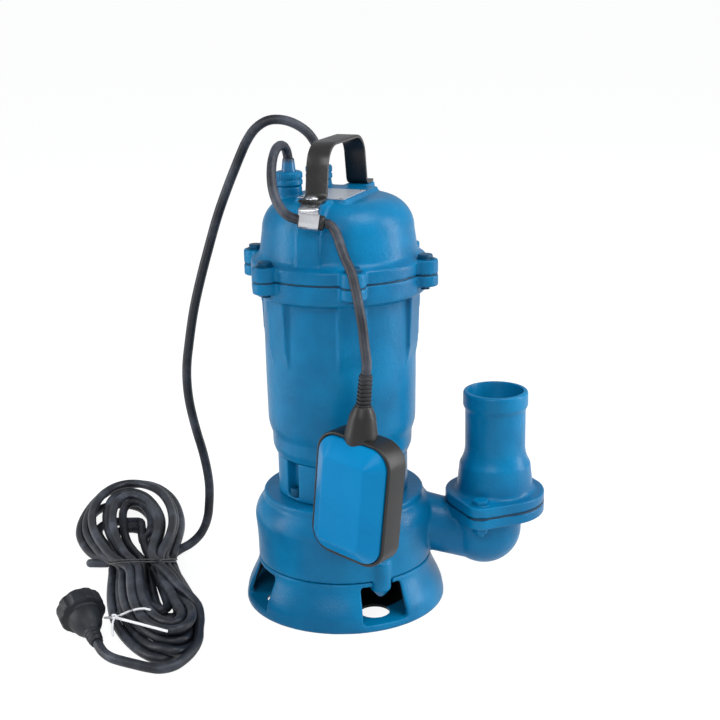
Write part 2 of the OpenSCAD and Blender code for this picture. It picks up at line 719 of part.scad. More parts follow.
module top_cover() {
    shoulder = arc(crown_x, dome_top_z - crown_r, crown_r, 0, 90, 12);
    hollow = arc(crown_x, dome_top_z - crown_r, crown_r - wall, 90, 0, 8);
    color(BLUE) difference() {
        union() {
            rotate_extrude($fn = 96) polygon(concat(
                [[64.6, cover_z], [flange_r, cover_z], [flange_r, 331.5], [flange_r - 2, 333.6],
                [74, 336], [72, 338.5], [dome_r, 343]], shoulder, [[0, dome_top_z], [0, dome_top_z - wall]],
                hollow, [[dome_r - wall - 1, 340], [dome_r - wall - 1, 335], [64.6, 330]]));
            ring_of(6, cover_bolt_turn) difference() {
                cover_lug(cover_z + 0.1, cover_lug_top_z);
                translate([0, 0, cover_z - 1]) cylinder(r = 70, h = 20, $fn = 96);
            }
            turned(handle_turn) difference() {
                for (k = [0, 180]) turned(k) translate([-buttress_w / 2, 0, 0]) rotate([90, 0, 90])
                    linear_extrude(buttress_w) polygon([[-30, 332], [-74.4, 332], [-buttress_u, 341],
                        [-buttress_u, 361], [-69.9, 367], [-69.4, 384], [-66.5, pad_z - clip_t - 0.1],
                        [-30, pad_z - clip_t - 0.1]]);
                translate([0, 0, 300]) cylinder(r = dome_r - 3, h = dome_top_z - crown_r - 300, $fn = 96);
                translate([0, 0, 300]) cylinder(r = crown_x + 10, h = 80, $fn = 96);
            }
            turned(handle_turn) translate([0, 0, 384]) {
                translate([-pad_v, -pad_u + 5, 0]) cube([2 * pad_v, 2 * pad_u - 10, pad_z - 384]);
                translate([-pad_v + 5, -pad_u, 0]) cube([2 * pad_v - 10, 2 * pad_u, pad_z - 384]);
                for (x = [-1, 1], y = [-1, 1]) translate([x * (pad_v - 5), y * (pad_u - 5), 0])
                    cylinder(r = 5, h = pad_z - 384, $fn = 32);
                translate([-buttress_w / 2, 0, 0]) cube([buttress_w, 67.5, pad_z - 384]);
                translate([-buttress_w / 2, -49, 0]) cube([buttress_w, 49, pad_z - 384]);
            }
            gland_boss(float_gland);
            gland_boss(mains_gland);
        }
        for (p = [float_gland, mains_gland]) translate([p.x, p.y, 370]) cylinder(r = 6.2, h = 40);
        ring_of(6, cover_bolt_turn) post(cover_bolt_circle_r, 4.45, cover_z - 1, cover_lug_top_z + 1);
        turned(handle_turn) ring_of(2, 0) post(handle_screw_u, 3, pad_z - 9, pad_z + 1, 24);
    }
}

module cover_bolts() {
    color(DARK_STEEL) ring_of(6, cover_bolt_turn) translate([0, -cover_bolt_circle_r, cover_lug_top_z])
        bolt(4 - nip, 7.1, 4.2, 27.4);
}

module nameplate() {
    color(STEEL) turned(handle_turn) difference() {
        translate([-22, -41, pad_z]) cube([44, 54, 0.7]);
        for (x = [-19, 19], y = [-38, 10]) translate([x, y, pad_z - 1]) cylinder(r = 1.2, h = 3, $fn = 24);
    }
}

module nameplate_rivets() {
    color(STEEL) turned(handle_turn) for (x = [-19, 19], y = [-38, 10]) translate([x, y, pad_z]) {
        cylinder(r = 1.1, h = 0.8, $fn = 24);
        translate([0, 0, 0.7]) cylinder(r1 = 1.9, r2 = 1.2, h = 0.6, $fn = 24);
    }
}

// Half of the handle's centre line, from its top to the end of its foot.
handle_half = concat([[0, handle_top_z - strap_t / 2]],
    arc(24.5, handle_top_z - strap_t / 2 - 21, 21, 90, 5, 8),
    arc(50 + 4.5, pad_z + strap_t / 2 + 5.5, 5.5, 185, 270, 5), [[67, pad_z + strap_t / 2]]);
handle_path = concat([for (i = [len(handle_half) - 1:-1:1]) [-handle_half[i].x, handle_half[i].y]],
    handle_half);

module handle() {
    color(BLACK) turned(handle_turn) difference() {
        translate([-strap_w / 2, 0, 0]) rotate([90, 0, 90]) linear_extrude(strap_w)
            polygon(strip(handle_path, strap_t));
        ring_of(2, 0) post(handle_screw_u, 3.2, pad_z - 1, pad_z + 5, 24);
    }
}

// Pan head screw with its head up, the head's seat at z = 0.
module pan_screw(r, head_r, head_h, shank) {
    difference() {
        rotate_extrude($fn = 48) polygon(concat([[0, 0], [head_r, 0]],
            arc(0, head_h - head_r * 1.25, head_r * 1.25, 40, 90, 5)));
        translate([-0.6, -head_r, head_h - 1.2]) cube([1.2, 2 * head_r, 3]);
    }
    translate([0, 0, -shank]) cylinder(r = r, h = shank + 0.01, $fn = 24);
}

module handle_screws() {
    color(STEEL) turned(handle_turn) ring_of(2, 0)
        translate([0, -handle_screw_u, pad_z + strap_t + 0.02]) pan_screw(2.9, 6, 3.6, 11);
}

// Places its children on the lead's axis in the clip, +X along the lead.
module on_clip() {
    translate(clip_at) turned(clip_turn) rotate([0, clip_tilt, 0]) children();
}

module cable_clip() {
    drop = pad_z - clip_t / 2 - 0.05 - clip_z;
    hoop = sleeve_r + clip_t / 2 + 0.1;
    loop = concat([[hoop + 0.2, drop - 3], [hoop, drop - 6]], arc(0, 0, hoop, 0, -172, 12));
    color(STEEL) {
        on_clip() translate([-clip_w / 2, 0, 0]) rotate([90, 0, 90]) linear_extrude(clip_w)
            polygon(strip([for (p = loop) [-p.x, p.y]], clip_t));
        translate([clip_screw.x, clip_screw.y, 0]) turned(clip_turn) difference() {
            translate([-clip_w / 2, 0, 0]) rotate([90, 0, 90]) linear_extrude(clip_w)
                polygon(strip(concat([[6, drop + clip_z]],
                    arc(-clip_reach - hoop + 2.5, drop + clip_z - 2.5, 2.5, 90, 180, 4),
                    [[-clip_reach - hoop, drop + clip_z - 4.5]]), clip_t));
            translate([0, 0, pad_z - 5]) cylinder(r = 3.2, h = 10, $fn = 24);
        }
    }
}

module clip_sleeve() {
    color(BLACK) on_clip() rotate([0, 90, 0]) difference() {
        translate([0, 0, sleeve_left]) cylinder(r = sleeve_r, h = sleeve_right - sleeve_left, $fn = 48);
        translate([0, 0, sleeve_left - 1]) cylinder(r = float_lead_d / 2, h = 40, $fn = 48);
    }
}

// ---- glands ----

module gland_nut(p, lead_r) {
    color(BLUE) translate([p.x, p.y, gland_z]) rotate_extrude($fn = 48) polygon([
        [lead_r + 2.4, 0.3], [12.2, 0.3], [12.4, 1], [12.4, 4.6], [11.6, 5.2], [11.6, 6.2], [12.4, 6.8],
        [12.4, 11.2], [11.2, gland_top_z - gland_z], [lead_r + 2.4, gland_top_z - gland_z]]);
}

module lead_boot(p, lead_r) {
    color(BLACK) translate([p.x, p.y, 0]) rotate_extrude($fn = 48) polygon([
        [lead_r, 397.4], [lead_r + 2.3, 397.4], [lead_r + 2.3, gland_top_z],
        [lead_r + 1, boot_top_z - 0.5], [lead_r + 0.5, boot_top_z], [lead_r, boot_top_z]]);
}

module float_gland_nut() {
    gland_nut(float_gland, float_lead_d / 2);
}

module mains_gland_nut() {
    gland_nut(mains_gland, mains_d / 2);
}

module float_lead_boot() {
    lead_boot(float_gland, float_lead_d / 2);
}

module mains_lead_boot() {
    lead_boot(mains_gland, mains_d / 2);
}

// ---- leads ----

module float_lead_fixed() {
    color(LEAD_GREY) tube(smooth(float_fixed_route, 2), float_lead_d, 8);
}

module float_lead_swing() {
    color(LEAD_GREY) tube(smooth(float_swing_route, 1), float_lead_d, 8);
}

module mains_lead() {
    color(LEAD_GREY) tube(smooth(mains_route, 1), mains_d, 8);
}

module mains_hank() {
    color(LEAD_GREY) tube(hank_path, mains_d, 6);
}

module mains_tail() {
    color(LEAD_GREY) tube(smooth(tail_route, 1), mains_d, 8);
}

// Places its children at the plug, +Z from its face back to its lead.
module on_plug() {
    translate(plug_at) turned(plug_turn) rotate([0, 90 + plug_tilt, 0]) children();
}

module mains_plug() {
    color(BLACK) on_plug() difference() {
        rotate_extrude($fn = 64) polygon([[0, 6], [17, 6], [17, 0], [20.8, 0], [21.5, 1], [21.5, 13],
            [20.5, 15], [16, 16], [15, 21], [12.5, 30], [9.5, 35], [7.4, 37], [mains_d / 2 + 1.2, plug_back],
            [0, plug_back]]);
        ring_of(10, 18) post(28, 8, -1, 30, 24);
        for (y = [-9.5, 9.5]) translate([0, y, 5]) cylinder(r = 2.4, h = 9, $fn = 24);
    }
}

module plug_pins() {
    color(STEEL) on_plug() for (y = [-9.5, 9.5]) translate([0, y, -13]) {
        cylinder(r = 2.35, h = 27, $fn = 24);
        translate([0, 0, -0.9]) cylinder(r1 = 1.5, r2 = 2.35, h = 0.91, $fn = 24);
    }
}

// Flat band round a bundle, across the hank at s.
module band(s, x0, x1, z1, width, t) {
    translate([hank_at.x, hank_at.y, 0]) turned(hank_turn) translate([0, s + width / 2, 0])
        rotate([90, 0, 0]) linear_extrude(width) difference() {
            translate([x0 - t, 0.05]) square([x1 - x0 + 2 * t, z1 + t - 0.05]);
            translate([x0, t]) square([x1 - x0, z1 - t]);
        }
}

module hank_tie() {
    color(WHITE) {
        band(tie_s, -38.2, -11.5, 39.2, 2.4, tie_t);
        translate([hank_at.x, hank_at.y, 0]) turned(hank_turn) translate([-33, tie_s, 42.2])
            sphere(r = 2.6, $fn = 24);
    }
}

module waist_tie() {
    color(BLACK) band(0, -25, 29.8, 39.2, 3, tie_t);
}

// ---- float ----

module on_float() {
    translate(float_at) rotate([0, 0, float_yaw]) rotate([0, float_roll, 0]) children();
}

// Upright block with rounded corners, seen from the front, between two depths.
module float_block(w, h, r, y0, y1) {
    translate([0, y1, 0]) rotate([90, 0, 0]) linear_extrude(y1 - y0) {
        square([w - 2 * r, h], center = true);
        square([w, h - 2 * r], center = true);
        for (x = [-1, 1], y = [-1, 1]) translate([x * (w / 2 - r), y * (h / 2 - r)]) circle(r = r, $fn = 48);
    }
}

// Wedge that rises from the rim to the cover's face along one pair of edges.
module bevel(width, depth) {
    linear_extrude(160, center = true) polygon([[-width / 2, rim_y], [-width / 2, rim_y - 1.6],
        [-width / 2 + 15, rim_y - depth], [width / 2 - 15, rim_y - depth], [width / 2, rim_y - 1.6],
        [width / 2, rim_y]]);
}

module float_shell() {
    back = rim_y + float_d;
    color(BLACK) on_float() difference() {
        union() {
            float_block(float_w, float_h, float_corner, rim_y, back - 3);
            float_block(float_w - 5, float_h - 5, float_corner - 2.5, back - 3.01, back);
            translate([boot_x, 0, float_h / 2 - 3]) cylinder(r1 = 14.6, r2 = 13.4, h = 9);
            translate([boot_x, 0, float_h / 2 + 5.99]) cylinder(r1 = 13.4, r2 = 11, h = 13);
            translate([boot_x, 0, float_h / 2 + 18.98]) cylinder(r1 = 11, r2 = 7.5,
                h = relief_z - float_h / 2 - 18.98);
        }
        float_block(float_w - 7, float_h - 7, float_corner - 3.5, rim_y - 1, back - 3);
        translate([boot_x, 0, float_h / 2 - 8]) cylinder(r = 5.2, h = 60);
    }
}

module float_cover() {
    color(FLOAT_BLUE) on_float() difference() {
        union() {
            intersection() {
                float_block(float_w - 7.2, float_h - 7.2, float_corner - 3.6, rim_y - 15, rim_y);
                bevel(float_w - 7, 13.5);
                rotate([0, 90, 0]) bevel(float_h - 7, 13.5);
            }
            float_block(float_w - 7.2, float_h - 7.2, float_corner - 3.6, rim_y - 0.01, rim_y + 4);
        }
        float_block(float_w - 32, float_h - 32, float_corner - 12, rim_y - 4, rim_y + 5);
    }
}

module float_strain_relief() {
    ribs = 8;
    pitch = (relief_top - relief_z) / ribs;
    color(BLACK) on_float() translate([boot_x, 0, relief_z]) difference() {
        union() {
            cylinder(r = 5.2, h = relief_top - relief_z, $fn = 32);
            for (k = [0:ribs - 1]) translate([0, 0, k * pitch]) cylinder(r = 6.5 - 0.08 * k, h = 2, $fn = 32);
            translate([0, 0, -8]) cylinder(r = 5.1, h = 8.01, $fn = 32);
        }
        translate([0, 0, -9]) cylinder(r = 3, h = 50, $fn = 32);
    }
}

module float_switch() {
    color(WHITE) on_float() difference() {
        translate([-21, rim_y + 4.5, -10]) cube([42, 13, 44]);
        translate([0, rim_y + 11, -7]) cylinder(r = 5.2, h = 10 + ball_travel, $fn = 32);
        translate([0, rim_y + 11, -11]) cylinder(r = 3, h = 5, $fn = 32);
    }
}

module float_ball() {
    color(STEEL) on_float() translate([0, rim_y + 11, -2 + 0.02]) sphere(r = 5, $fn = 32);
}

foot();
foot_screws();
suction_plate();
suction_plate_screws();
pump_casing();
impeller();
impeller_nut();
shaft();
casing_o_ring();
oil_chamber();
chamber_screws();
seal_seat();
seal_head();
lip_seal();
motor_housing();
housing_screws();
lower_bearing_outer();
lower_bearing_inner();
lower_bearing_balls();
upper_bearing_outer();
upper_bearing_inner();
upper_bearing_balls();
stator_core();
stator_windings();
rotor_core();
bearing_carrier();
capacitor();
cover_gasket();
top_cover();
cover_bolts();
nameplate();
nameplate_rivets();
handle();
handle_screws();
cable_clip();
clip_sleeve();
float_gland_nut();
mains_gland_nut();
float_lead_boot();
mains_lead_boot();
float_lead_fixed();
float_lead_swing();
mains_lead();
mains_hank();
mains_tail();
mains_plug();
plug_pins();
hank_tie();
waist_tie();
float_shell();
float_cover();
float_strain_relief();
float_switch();
float_ball();
outlet_gasket();
hose_tail();
outlet_bolts();
outlet_nuts();
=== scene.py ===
"""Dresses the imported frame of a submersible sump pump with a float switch.

Sizes are in millimetres in the classes below and become metres where a mesh is made. +Z is up,
+X points to the outlet, and the float hangs at the front, on the -Y side.
"""

import json
import logging
import math
from dataclasses import dataclass, field
from enum import Enum
from typing import Callable, Iterable, Sequence

import bpy
import numpy as np
from mathutils import Matrix, Vector


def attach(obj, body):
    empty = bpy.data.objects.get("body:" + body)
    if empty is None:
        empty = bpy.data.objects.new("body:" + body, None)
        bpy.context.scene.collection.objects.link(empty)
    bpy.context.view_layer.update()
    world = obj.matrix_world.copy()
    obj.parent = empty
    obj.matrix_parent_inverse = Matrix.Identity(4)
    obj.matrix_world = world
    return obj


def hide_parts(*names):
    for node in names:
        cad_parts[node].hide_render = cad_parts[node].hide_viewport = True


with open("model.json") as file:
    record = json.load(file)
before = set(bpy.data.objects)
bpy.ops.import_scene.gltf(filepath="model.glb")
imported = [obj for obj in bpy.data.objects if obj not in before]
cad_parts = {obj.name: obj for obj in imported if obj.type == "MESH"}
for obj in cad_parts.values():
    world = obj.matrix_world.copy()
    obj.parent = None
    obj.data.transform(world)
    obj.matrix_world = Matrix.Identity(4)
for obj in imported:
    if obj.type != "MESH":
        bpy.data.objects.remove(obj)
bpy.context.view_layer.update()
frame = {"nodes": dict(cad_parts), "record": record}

logging.basicConfig(level=logging.INFO, format="%(message)s")
log = logging.getLogger("pump")

MM = 0.001
Point = tuple[float, float, float]
Flat = tuple[float, float]


class Body(str, Enum):
    """The bodies that the pieces made here move with."""

    PUMP = "pump"
    FLOAT = "float"


# ---------------------------------------------------------------- shader sums


class Sock:
    """A shader value that can be used in ordinary sums."""

    def __init__(self, nodes: "NodeBook", socket: bpy.types.NodeSocket) -> None:
        """Keeps the tree and the socket.

        Args:
            nodes: The book that adds nodes to the tree.
            socket: The output socket that carries the value.
        """
        self.nodes = nodes
        self.socket = socket

    def _sum(self, operation: str, first: object, second: object) -> "Sock":
        """Adds one Math node.

        Args:
            operation: The Math node's operation.
            first: The first value or socket.
            second: The second value or socket.

        Returns:
            The result as a Sock.
        """
        return self.nodes.add("ShaderNodeMath", {"operation": operation}, {0: first, 1: second})

    def __add__(self, other: object) -> "Sock":
        """Sum."""
        return self._sum("ADD", self, other)

    __radd__ = __add__

    def __mul__(self, other: object) -> "Sock":
        """Product."""
        return self._sum("MULTIPLY", self, other)

    __rmul__ = __mul__

    def __sub__(self, other: object) -> "Sock":
        """Difference."""
        return self._sum("SUBTRACT", self, other)

    def __rsub__(self, other: object) -> "Sock":
        """Difference, the other way round."""
        return self._sum("SUBTRACT", other, self)

    def between(self, low: float, high: float) -> "Sock":
        """A smooth mask that rises from 0 at low to 1 at high.

        Args:
            low: The value where the mask is 0.
            high: The value where the mask is 1.

        Returns:
            The mask.
        """
        return self.nodes.add("ShaderNodeMapRange", {"interpolation_type": "SMOOTHSTEP"},
                              {"Value": self, "From Min": low, "From Max": high})


class NodeBook:
    """Adds nodes to one material's tree."""

    def __init__(self, tree: bpy.types.NodeTree) -> None:
        """Keeps the tree and its shader, if it has one."""
        self.tree = tree
        self.shader = tree.nodes.get("Principled BSDF")

    def feed(self, socket: bpy.types.NodeSocket, value: object) -> None:
        """Links or sets one input socket.

        Args:
            socket: The input socket.
            value: A Sock, or a plain value.
        """
        if isinstance(value, Sock):
            self.tree.links.new(value.socket, socket)
        else:
            socket.default_value = value

    def dress(self, **values: object) -> None:
        """Feeds the shader's inputs.

        Args:
            values: Their values or Socks, named with underscores for spaces.
        """
        for name, value in values.items():
            self.feed(self.shader.inputs[name.replace("_", " ")], value)

    def add(self, kind: str, settings: dict[str, object] | None = None,
            inputs: dict[object, object] | None = None, output: object = 0) -> Sock:
        """Adds one node.

        Args:
            kind: The node's type.
            settings: Its settings, which are set first.
            inputs: The values or links of its sockets, by name or number.
            output: The output socket that is returned, by name or number.

        Returns:
            The output as a Sock.
        """
        node = self.tree.nodes.new(kind)
        for name, value in (settings or {}).items():
            setattr(node, name, value)
        for name, value in (inputs or {}).items():
            self.feed(node.inputs[name], value)
        return Sock(self, node.outputs[output])

    def place(self) -> Sock:
        """The piece's own coordinates, in metres."""
        return self.add("ShaderNodeTexCoord", output="Object")

    def noise(self, scale: float, detail: float = 2.0, rough: float = 0.5,
              stretch: Point | None = None) -> Sock:
        """Noise in the piece's own coordinates, from 0 to 1.

        Args:
            scale: Waves per metre.
            detail: How many finer layers it has.
            rough: How strong the finer layers are.
            stretch: Scale of each axis, where the noise is drawn out.

        Returns:
            The noise.
        """
        where = self.place()
        if stretch:
            where = self.add("ShaderNodeMapping", None, {"Vector": where, "Scale": stretch})
        return self.add("ShaderNodeTexNoise", None,
                        {"Vector": where, "Scale": scale, "Detail": detail, "Roughness": rough})

    def mix(self, factor: Sock, first: Sequence[float], second: object) -> Sock:
        """A mix of two colours.

        Args:
            factor: The share of the second.
            first: The first colour, or a Sock.
            second: The second colour, or a Sock.

        Returns:
            The mixed colour.
        """
        return self.add("ShaderNodeMix", {"data_type": "RGBA"},
                        {0: factor, 6: first, 7: second}, output=2)

    def bump(self, height: Sock, depth: float, under: Sock | None = None) -> Sock:
        """A bump from a height.

        Args:
            height: The height, from 0 to 1.
            depth: What 1 is worth, in metres.
            under: The normal that it is added to.

        Returns:
            The normal.
        """
        links: dict[object, object] = {"Height": height, "Distance": depth, "Strength": 1.0}
        if under is not None:
            links["Normal"] = under
        return self.add("ShaderNodeBump", None, links)

    def seen(self, glossy: float) -> Sock:
        """1 where the camera looks, also through glass, and a share of it in reflections.

        Args:
            glossy: The share in reflections.

        Returns:
            The mask.
        """
        camera, gloss, through = (self.add("ShaderNodeLightPath", output=f"Is {ray} Ray")
                                  for ray in ("Camera", "Glossy", "Transmission"))
        return camera + gloss * glossy + through


def linear(code: str) -> tuple[float, float, float, float]:
    """A colour of six hex digits as linear light.

    Args:
        code: Six hex digits.

    Returns:
        Red, green, blue and an alpha of 1.
    """
    parts = [int(code[i:i + 2], 16) / 255 for i in (0, 2, 4)]
    r, g, b = (c / 12.92 if c <= 0.04045 else ((c + 0.055) / 1.055) ** 2.4 for c in parts)
    return r, g, b, 1.0


# ------------------------------------------------------------------- finishes


@dataclass(frozen=True)
class Finish:
    """A surface finish, and the record's slot that it belongs to."""

    slot: str
    colour: str

    def material(self) -> bpy.types.Material:
        """The finish as a material, made once.

        Returns:
            The material.
        """
        name = f"{type(self).__name__}_{self.slot}_{self.colour}"
        found = bpy.data.materials.get(name)
        if found is None:
            found = bpy.data.materials.new(name)
            found.use_nodes = True
            found.diffuse_color = linear(self.colour)
            self.dress(NodeBook(found.node_tree))
        return found

    def dress(self, nodes: NodeBook) -> None:
        """Sets the shader's values and links.

        Args:
            nodes: The book of the material's nodes.
        """
        raise NotImplementedError


@dataclass(frozen=True)
class CastPaint(Finish):
    """Thick gloss paint over rough cast iron."""

    deep: str = "005f8c"
    pale: str = "1888bd"
    gloss: float = 0.33
    grain: float = 0.00026

    def dress(self, nodes: NodeBook) -> None:
        """Paint with darker patches at random and pale specks, and painted shade in the casting's hollows
        where a subclass paints it.

        Args:
            nodes: The book of the material's nodes.
        """
        patches = nodes.noise(14, 3, 0.55)
        sand = nodes.noise(420, 2, 0.6)
        peel = nodes.noise(1500, 1, 0.5)
        lumps = nodes.noise(70, 2, 0.5)
        body = nodes.mix(patches.between(0.36, 0.68), linear(self.deep), linear(self.colour))
        body = nodes.mix(sand.between(0.55, 0.8) * 0.15, body, linear(self.pale))
        # painted shade: a subclass paints the casting's hollows darker here
        body = self.inner(nodes, body)
        normal = nodes.bump(lumps, 0.0004)
        normal = nodes.bump(sand, self.grain, normal)
        normal = nodes.bump(peel, self.grain * 0.3, normal)
        nodes.dress(Base_Color=body, Roughness=patches * 0.10 + (self.gloss - 0.04), Normal=normal,
                    Coat_Weight=0.05, Coat_Roughness=0.16, Specular_IOR_Level=0.15)

    def inner(self, nodes: NodeBook, body: Sock) -> Sock:
        """The colour with painted shade in the casting's hollows, which is none here.

        Args:
            nodes: The book of the material's nodes.
            body: The paint's colour.

        Returns:
            The colour.
        """
        return body


@dataclass(frozen=True)
class FootPaintShadedInside(CastPaint):
    """Paint with painted shade: the inside of the flared foot is painted black, where shade falls."""

    def inner(self, nodes: NodeBook, body: Sock) -> Sock:
        """Painted shade: black behind the skirt's wall and on the middle of the floor plate.

        Args:
            nodes: The book of the material's nodes.
            body: The paint's colour.

        Returns:
            The colour.
        """
        place = nodes.place()
        height = nodes.add("ShaderNodeSeparateXYZ", None, {0: place}, output="Z")
        flat = nodes.add("ShaderNodeVectorMath", {"operation": "MULTIPLY"}, {0: place, 1: (1, 1, 0)})
        radius = nodes.add("ShaderNodeVectorMath", {"operation": "LENGTH"}, {0: flat}, output="Value")
        edge = height.between(0.0078, 0.0125) * 0.0275 + 0.066
        # painted shade: near-black inside the skirt's wall and on the floor plate's middle
        return nodes.mix((radius + height * 0.327 - edge).between(0.0, 0.0015), linear("030609"), body)


@dataclass(frozen=True)
class BareMetal(Finish):
    """Turned, rolled or plated metal."""

    rough: float = 0.28
    lines: Point = (1.0, 1.0, 1.0)
    metallic: float = 1.0

    def dress(self, nodes: NodeBook) -> None:
        """Metal with faint drawn lines and handling marks.

        Args:
            nodes: The book of the material's nodes.
        """
        drawn = nodes.noise(900, 2, 0.6, self.lines)
        marks = nodes.noise(60, 4, 0.6)
        tone = nodes.mix(marks * 0.35, linear(self.colour), linear("77787c"))
        nodes.dress(Base_Color=tone, Metallic=self.metallic,
                    Roughness=drawn * 0.16 + marks * 0.10 + (self.rough - 0.12),
                    Normal=nodes.bump(drawn, 0.00002))


@dataclass(frozen=True)
class RoughIron(Finish):
    """Bare cast iron with a sandy skin."""

    def dress(self, nodes: NodeBook) -> None:
        """Grey iron with darker pits.

        Args:
            nodes: The book of the material's nodes.
        """
        sand = nodes.noise(600, 4, 0.7)
        stain = nodes.noise(30, 3, 0.5)
        tone = nodes.mix(stain, linear(self.colour), linear("4c4640"))
        nodes.dress(Base_Color=tone, Metallic=0.7, Roughness=sand * 0.25 + 0.45,
                    Normal=nodes.bump(sand, 0.00025))


@dataclass(frozen=True)
class Rubber(Finish):
    """Moulded or extruded rubber with a faint bloom."""

    bloom: str = "565b64"
    rough: float = 0.46
    share: float = 0.35

    def dress(self, nodes: NodeBook) -> None:
        """Dark rubber, a little paler where it has been handled.

        Args:
            nodes: The book of the material's nodes.
        """
        cloud = nodes.noise(26, 4, 0.6)
        skin = nodes.noise(2600, 2, 0.5)
        tone = nodes.mix(cloud.between(0.4, 0.75) * self.share, linear(self.colour), linear(self.bloom))
        nodes.dress(Base_Color=tone, Roughness=cloud * 0.12 + (self.rough - 0.06),
                    Normal=nodes.bump(skin, 0.00003), Specular_IOR_Level=0.35)


@dataclass(frozen=True)
class Oversprayed(Finish):
    """Rubber that caught the castings' paint where it leaves them."""

    paint: str = "0d6596"
    low: float = 0.4095
    high: float = 0.4215

    def dress(self, nodes: NodeBook) -> None:
        """Paint below, rubber above, with a speckled edge.

        Args:
            nodes: The book of the material's nodes.
        """
        height = nodes.add("ShaderNodeSeparateXYZ", None, {0: nodes.place()}, output="Z")
        speckle = nodes.noise(900, 2, 0.6)
        edge = (height + speckle * 0.008 - 0.004).between(self.low + 0.006, self.high)
        tone = nodes.mix(edge, linear(self.paint), linear(self.colour))
        nodes.dress(Base_Color=tone, Roughness=edge * 0.15 + 0.32, Normal=nodes.bump(speckle, 0.00006))


@dataclass(frozen=True)
class Plastic(Finish):
    """Moulded plastic, from matte to gloss."""

    rough: float = 0.30
    grain: float = 0.00004
    deep: str | None = None
    shine: float = 0.5

    def dress(self, nodes: NodeBook) -> None:
        """Even colour with a fine moulded grain.

        Args:
            nodes: The book of the material's nodes.
        """
        fine = nodes.noise(1200, 2, 0.5)
        flow = nodes.noise(18, 2, 0.5)
        tone = nodes.mix(flow.between(0.35, 0.7), linear(self.deep or self.colour), linear(self.colour))
        nodes.dress(Base_Color=tone, Roughness=flow * 0.08 + (self.rough - 0.04),
                    Normal=nodes.bump(fine, self.grain), Specular_IOR_Level=self.shine)


@dataclass(frozen=True)
class Enamel(Finish):
    """Black enamel on rolled steel strip."""

    def dress(self, nodes: NodeBook) -> None:
        """Soft gloss with a slight waviness and dust.

        Args:
            nodes: The book of the material's nodes.
        """
        wave = nodes.noise(90, 2, 0.5)
        dust = nodes.noise(800, 3, 0.6)
        tone = nodes.mix(dust.between(0.5, 0.85) * 0.3, linear(self.colour), linear("55504e"))
        nodes.dress(Base_Color=tone, Roughness=wave * 0.12 + 0.30,
                    Normal=nodes.bump(dust, 0.00003, nodes.bump(wave, 0.0003)), Coat_Weight=0.2,
                    Coat_Roughness=0.25)


@dataclass(frozen=True)
class Layered(Finish):
    """Thin layers or turns stacked along Z, such as laminations or a winding."""

    pitch: float = 0.001
    rough: float = 0.45
    metallic: float = 0.6

    def dress(self, nodes: NodeBook) -> None:
        """Fine bands that darken between the layers.

        Args:
            nodes: The book of the material's nodes.
        """
        bands = nodes.add("ShaderNodeTexWave", {"bands_direction": "Z"},
                          {"Vector": nodes.place(), "Scale": 0.314 / self.pitch, "Distortion": 0.4})
        stain = nodes.noise(45, 3, 0.5)
        tone = nodes.mix(bands * 0.5 + stain * 0.2, linear("2a2320"), linear(self.colour))
        nodes.dress(Base_Color=tone, Metallic=self.metallic, Roughness=stain * 0.1 + self.rough,
                    Normal=nodes.bump(bands, self.pitch * 0.2))


PAINT = CastPaint("casting_paint", "0072a2")
# casting paint with painted shade inside the foot
FOOT_PAINT_SHADED_INSIDE = FootPaintShadedInside("casting_paint", "0072a2")
FIXING_PAINT = CastPaint("painted_fixings", "004f74", "003a58", "126b98", 0.34)
OUTLET_PAINT = CastPaint("painted_fixings", "006c9b", "005881")
DARK_STEEL = BareMetal("dark_steel", "3c3e44", 0.42)
STEEL = BareMetal("bright_steel", "c9cbd0", 0.26)
IRON = RoughIron("impeller_iron", "5c5c5f")
PLATE = BareMetal("plate_aluminium", "b9c0cb", 0.36, (0.05, 1.0, 1.0), 0.3)
LAMINATION = Layered("lamination", "6d7076", 0.001)
WINDING = Layered("winding", "a65a2c", 0.0014, 0.35, 0.7)
CERAMIC = Plastic("ceramic", "ece9e2", 0.18)
SEAL = Rubber("seal_rubber", "1b1c1f")
PAINTED_JOINT = Rubber("seal_rubber", "042c44", "064666")
STRAP = Enamel("strap_black", "161516")
LEAD = Rubber("lead_rubber", "181c24", "585e6c", 0.46, 0.65)
PLUG_RUBBER = Rubber("plug_rubber", "11141a", "2b3039", 0.5, 0.4)
PIN_BRASS = BareMetal("plug_brass", "cdb98a", 0.25)
TIE_WHITE = Plastic("tie_white", "e6e7ea", 0.35)
TIE_BLACK = Plastic("tie_black", "1f2126", 0.45)
FLOAT_BLACK = Plastic("float_black", "1c1b1c", 0.42, 0.00006, "131314", 0.4)
FLOAT_BLUE = Plastic("float_blue", "007cb4", 0.28, 0.00002, "0076ad", 0.10)
SWITCH = Plastic("switch_plastic", "d9d6cc", 0.4)
CAPACITOR = Plastic("capacitor_black", "232326", 0.35)
BOOT = Oversprayed("seal_rubber", "232429")
TIE_PALE = Rubber("tie_black", "2c3038", "585d68", 0.5, 0.8)
FINISHES = (PAINT, FIXING_PAINT, DARK_STEEL, STEEL, IRON, PLATE, LAMINATION, WINDING, CERAMIC, SEAL,
            STRAP, LEAD, PLUG_RUBBER, PIN_BRASS, TIE_WHITE, TIE_BLACK, FLOAT_BLACK, FLOAT_BLUE,
            SWITCH, CAPACITOR)


# ------------------------------------------------------------------ the bench


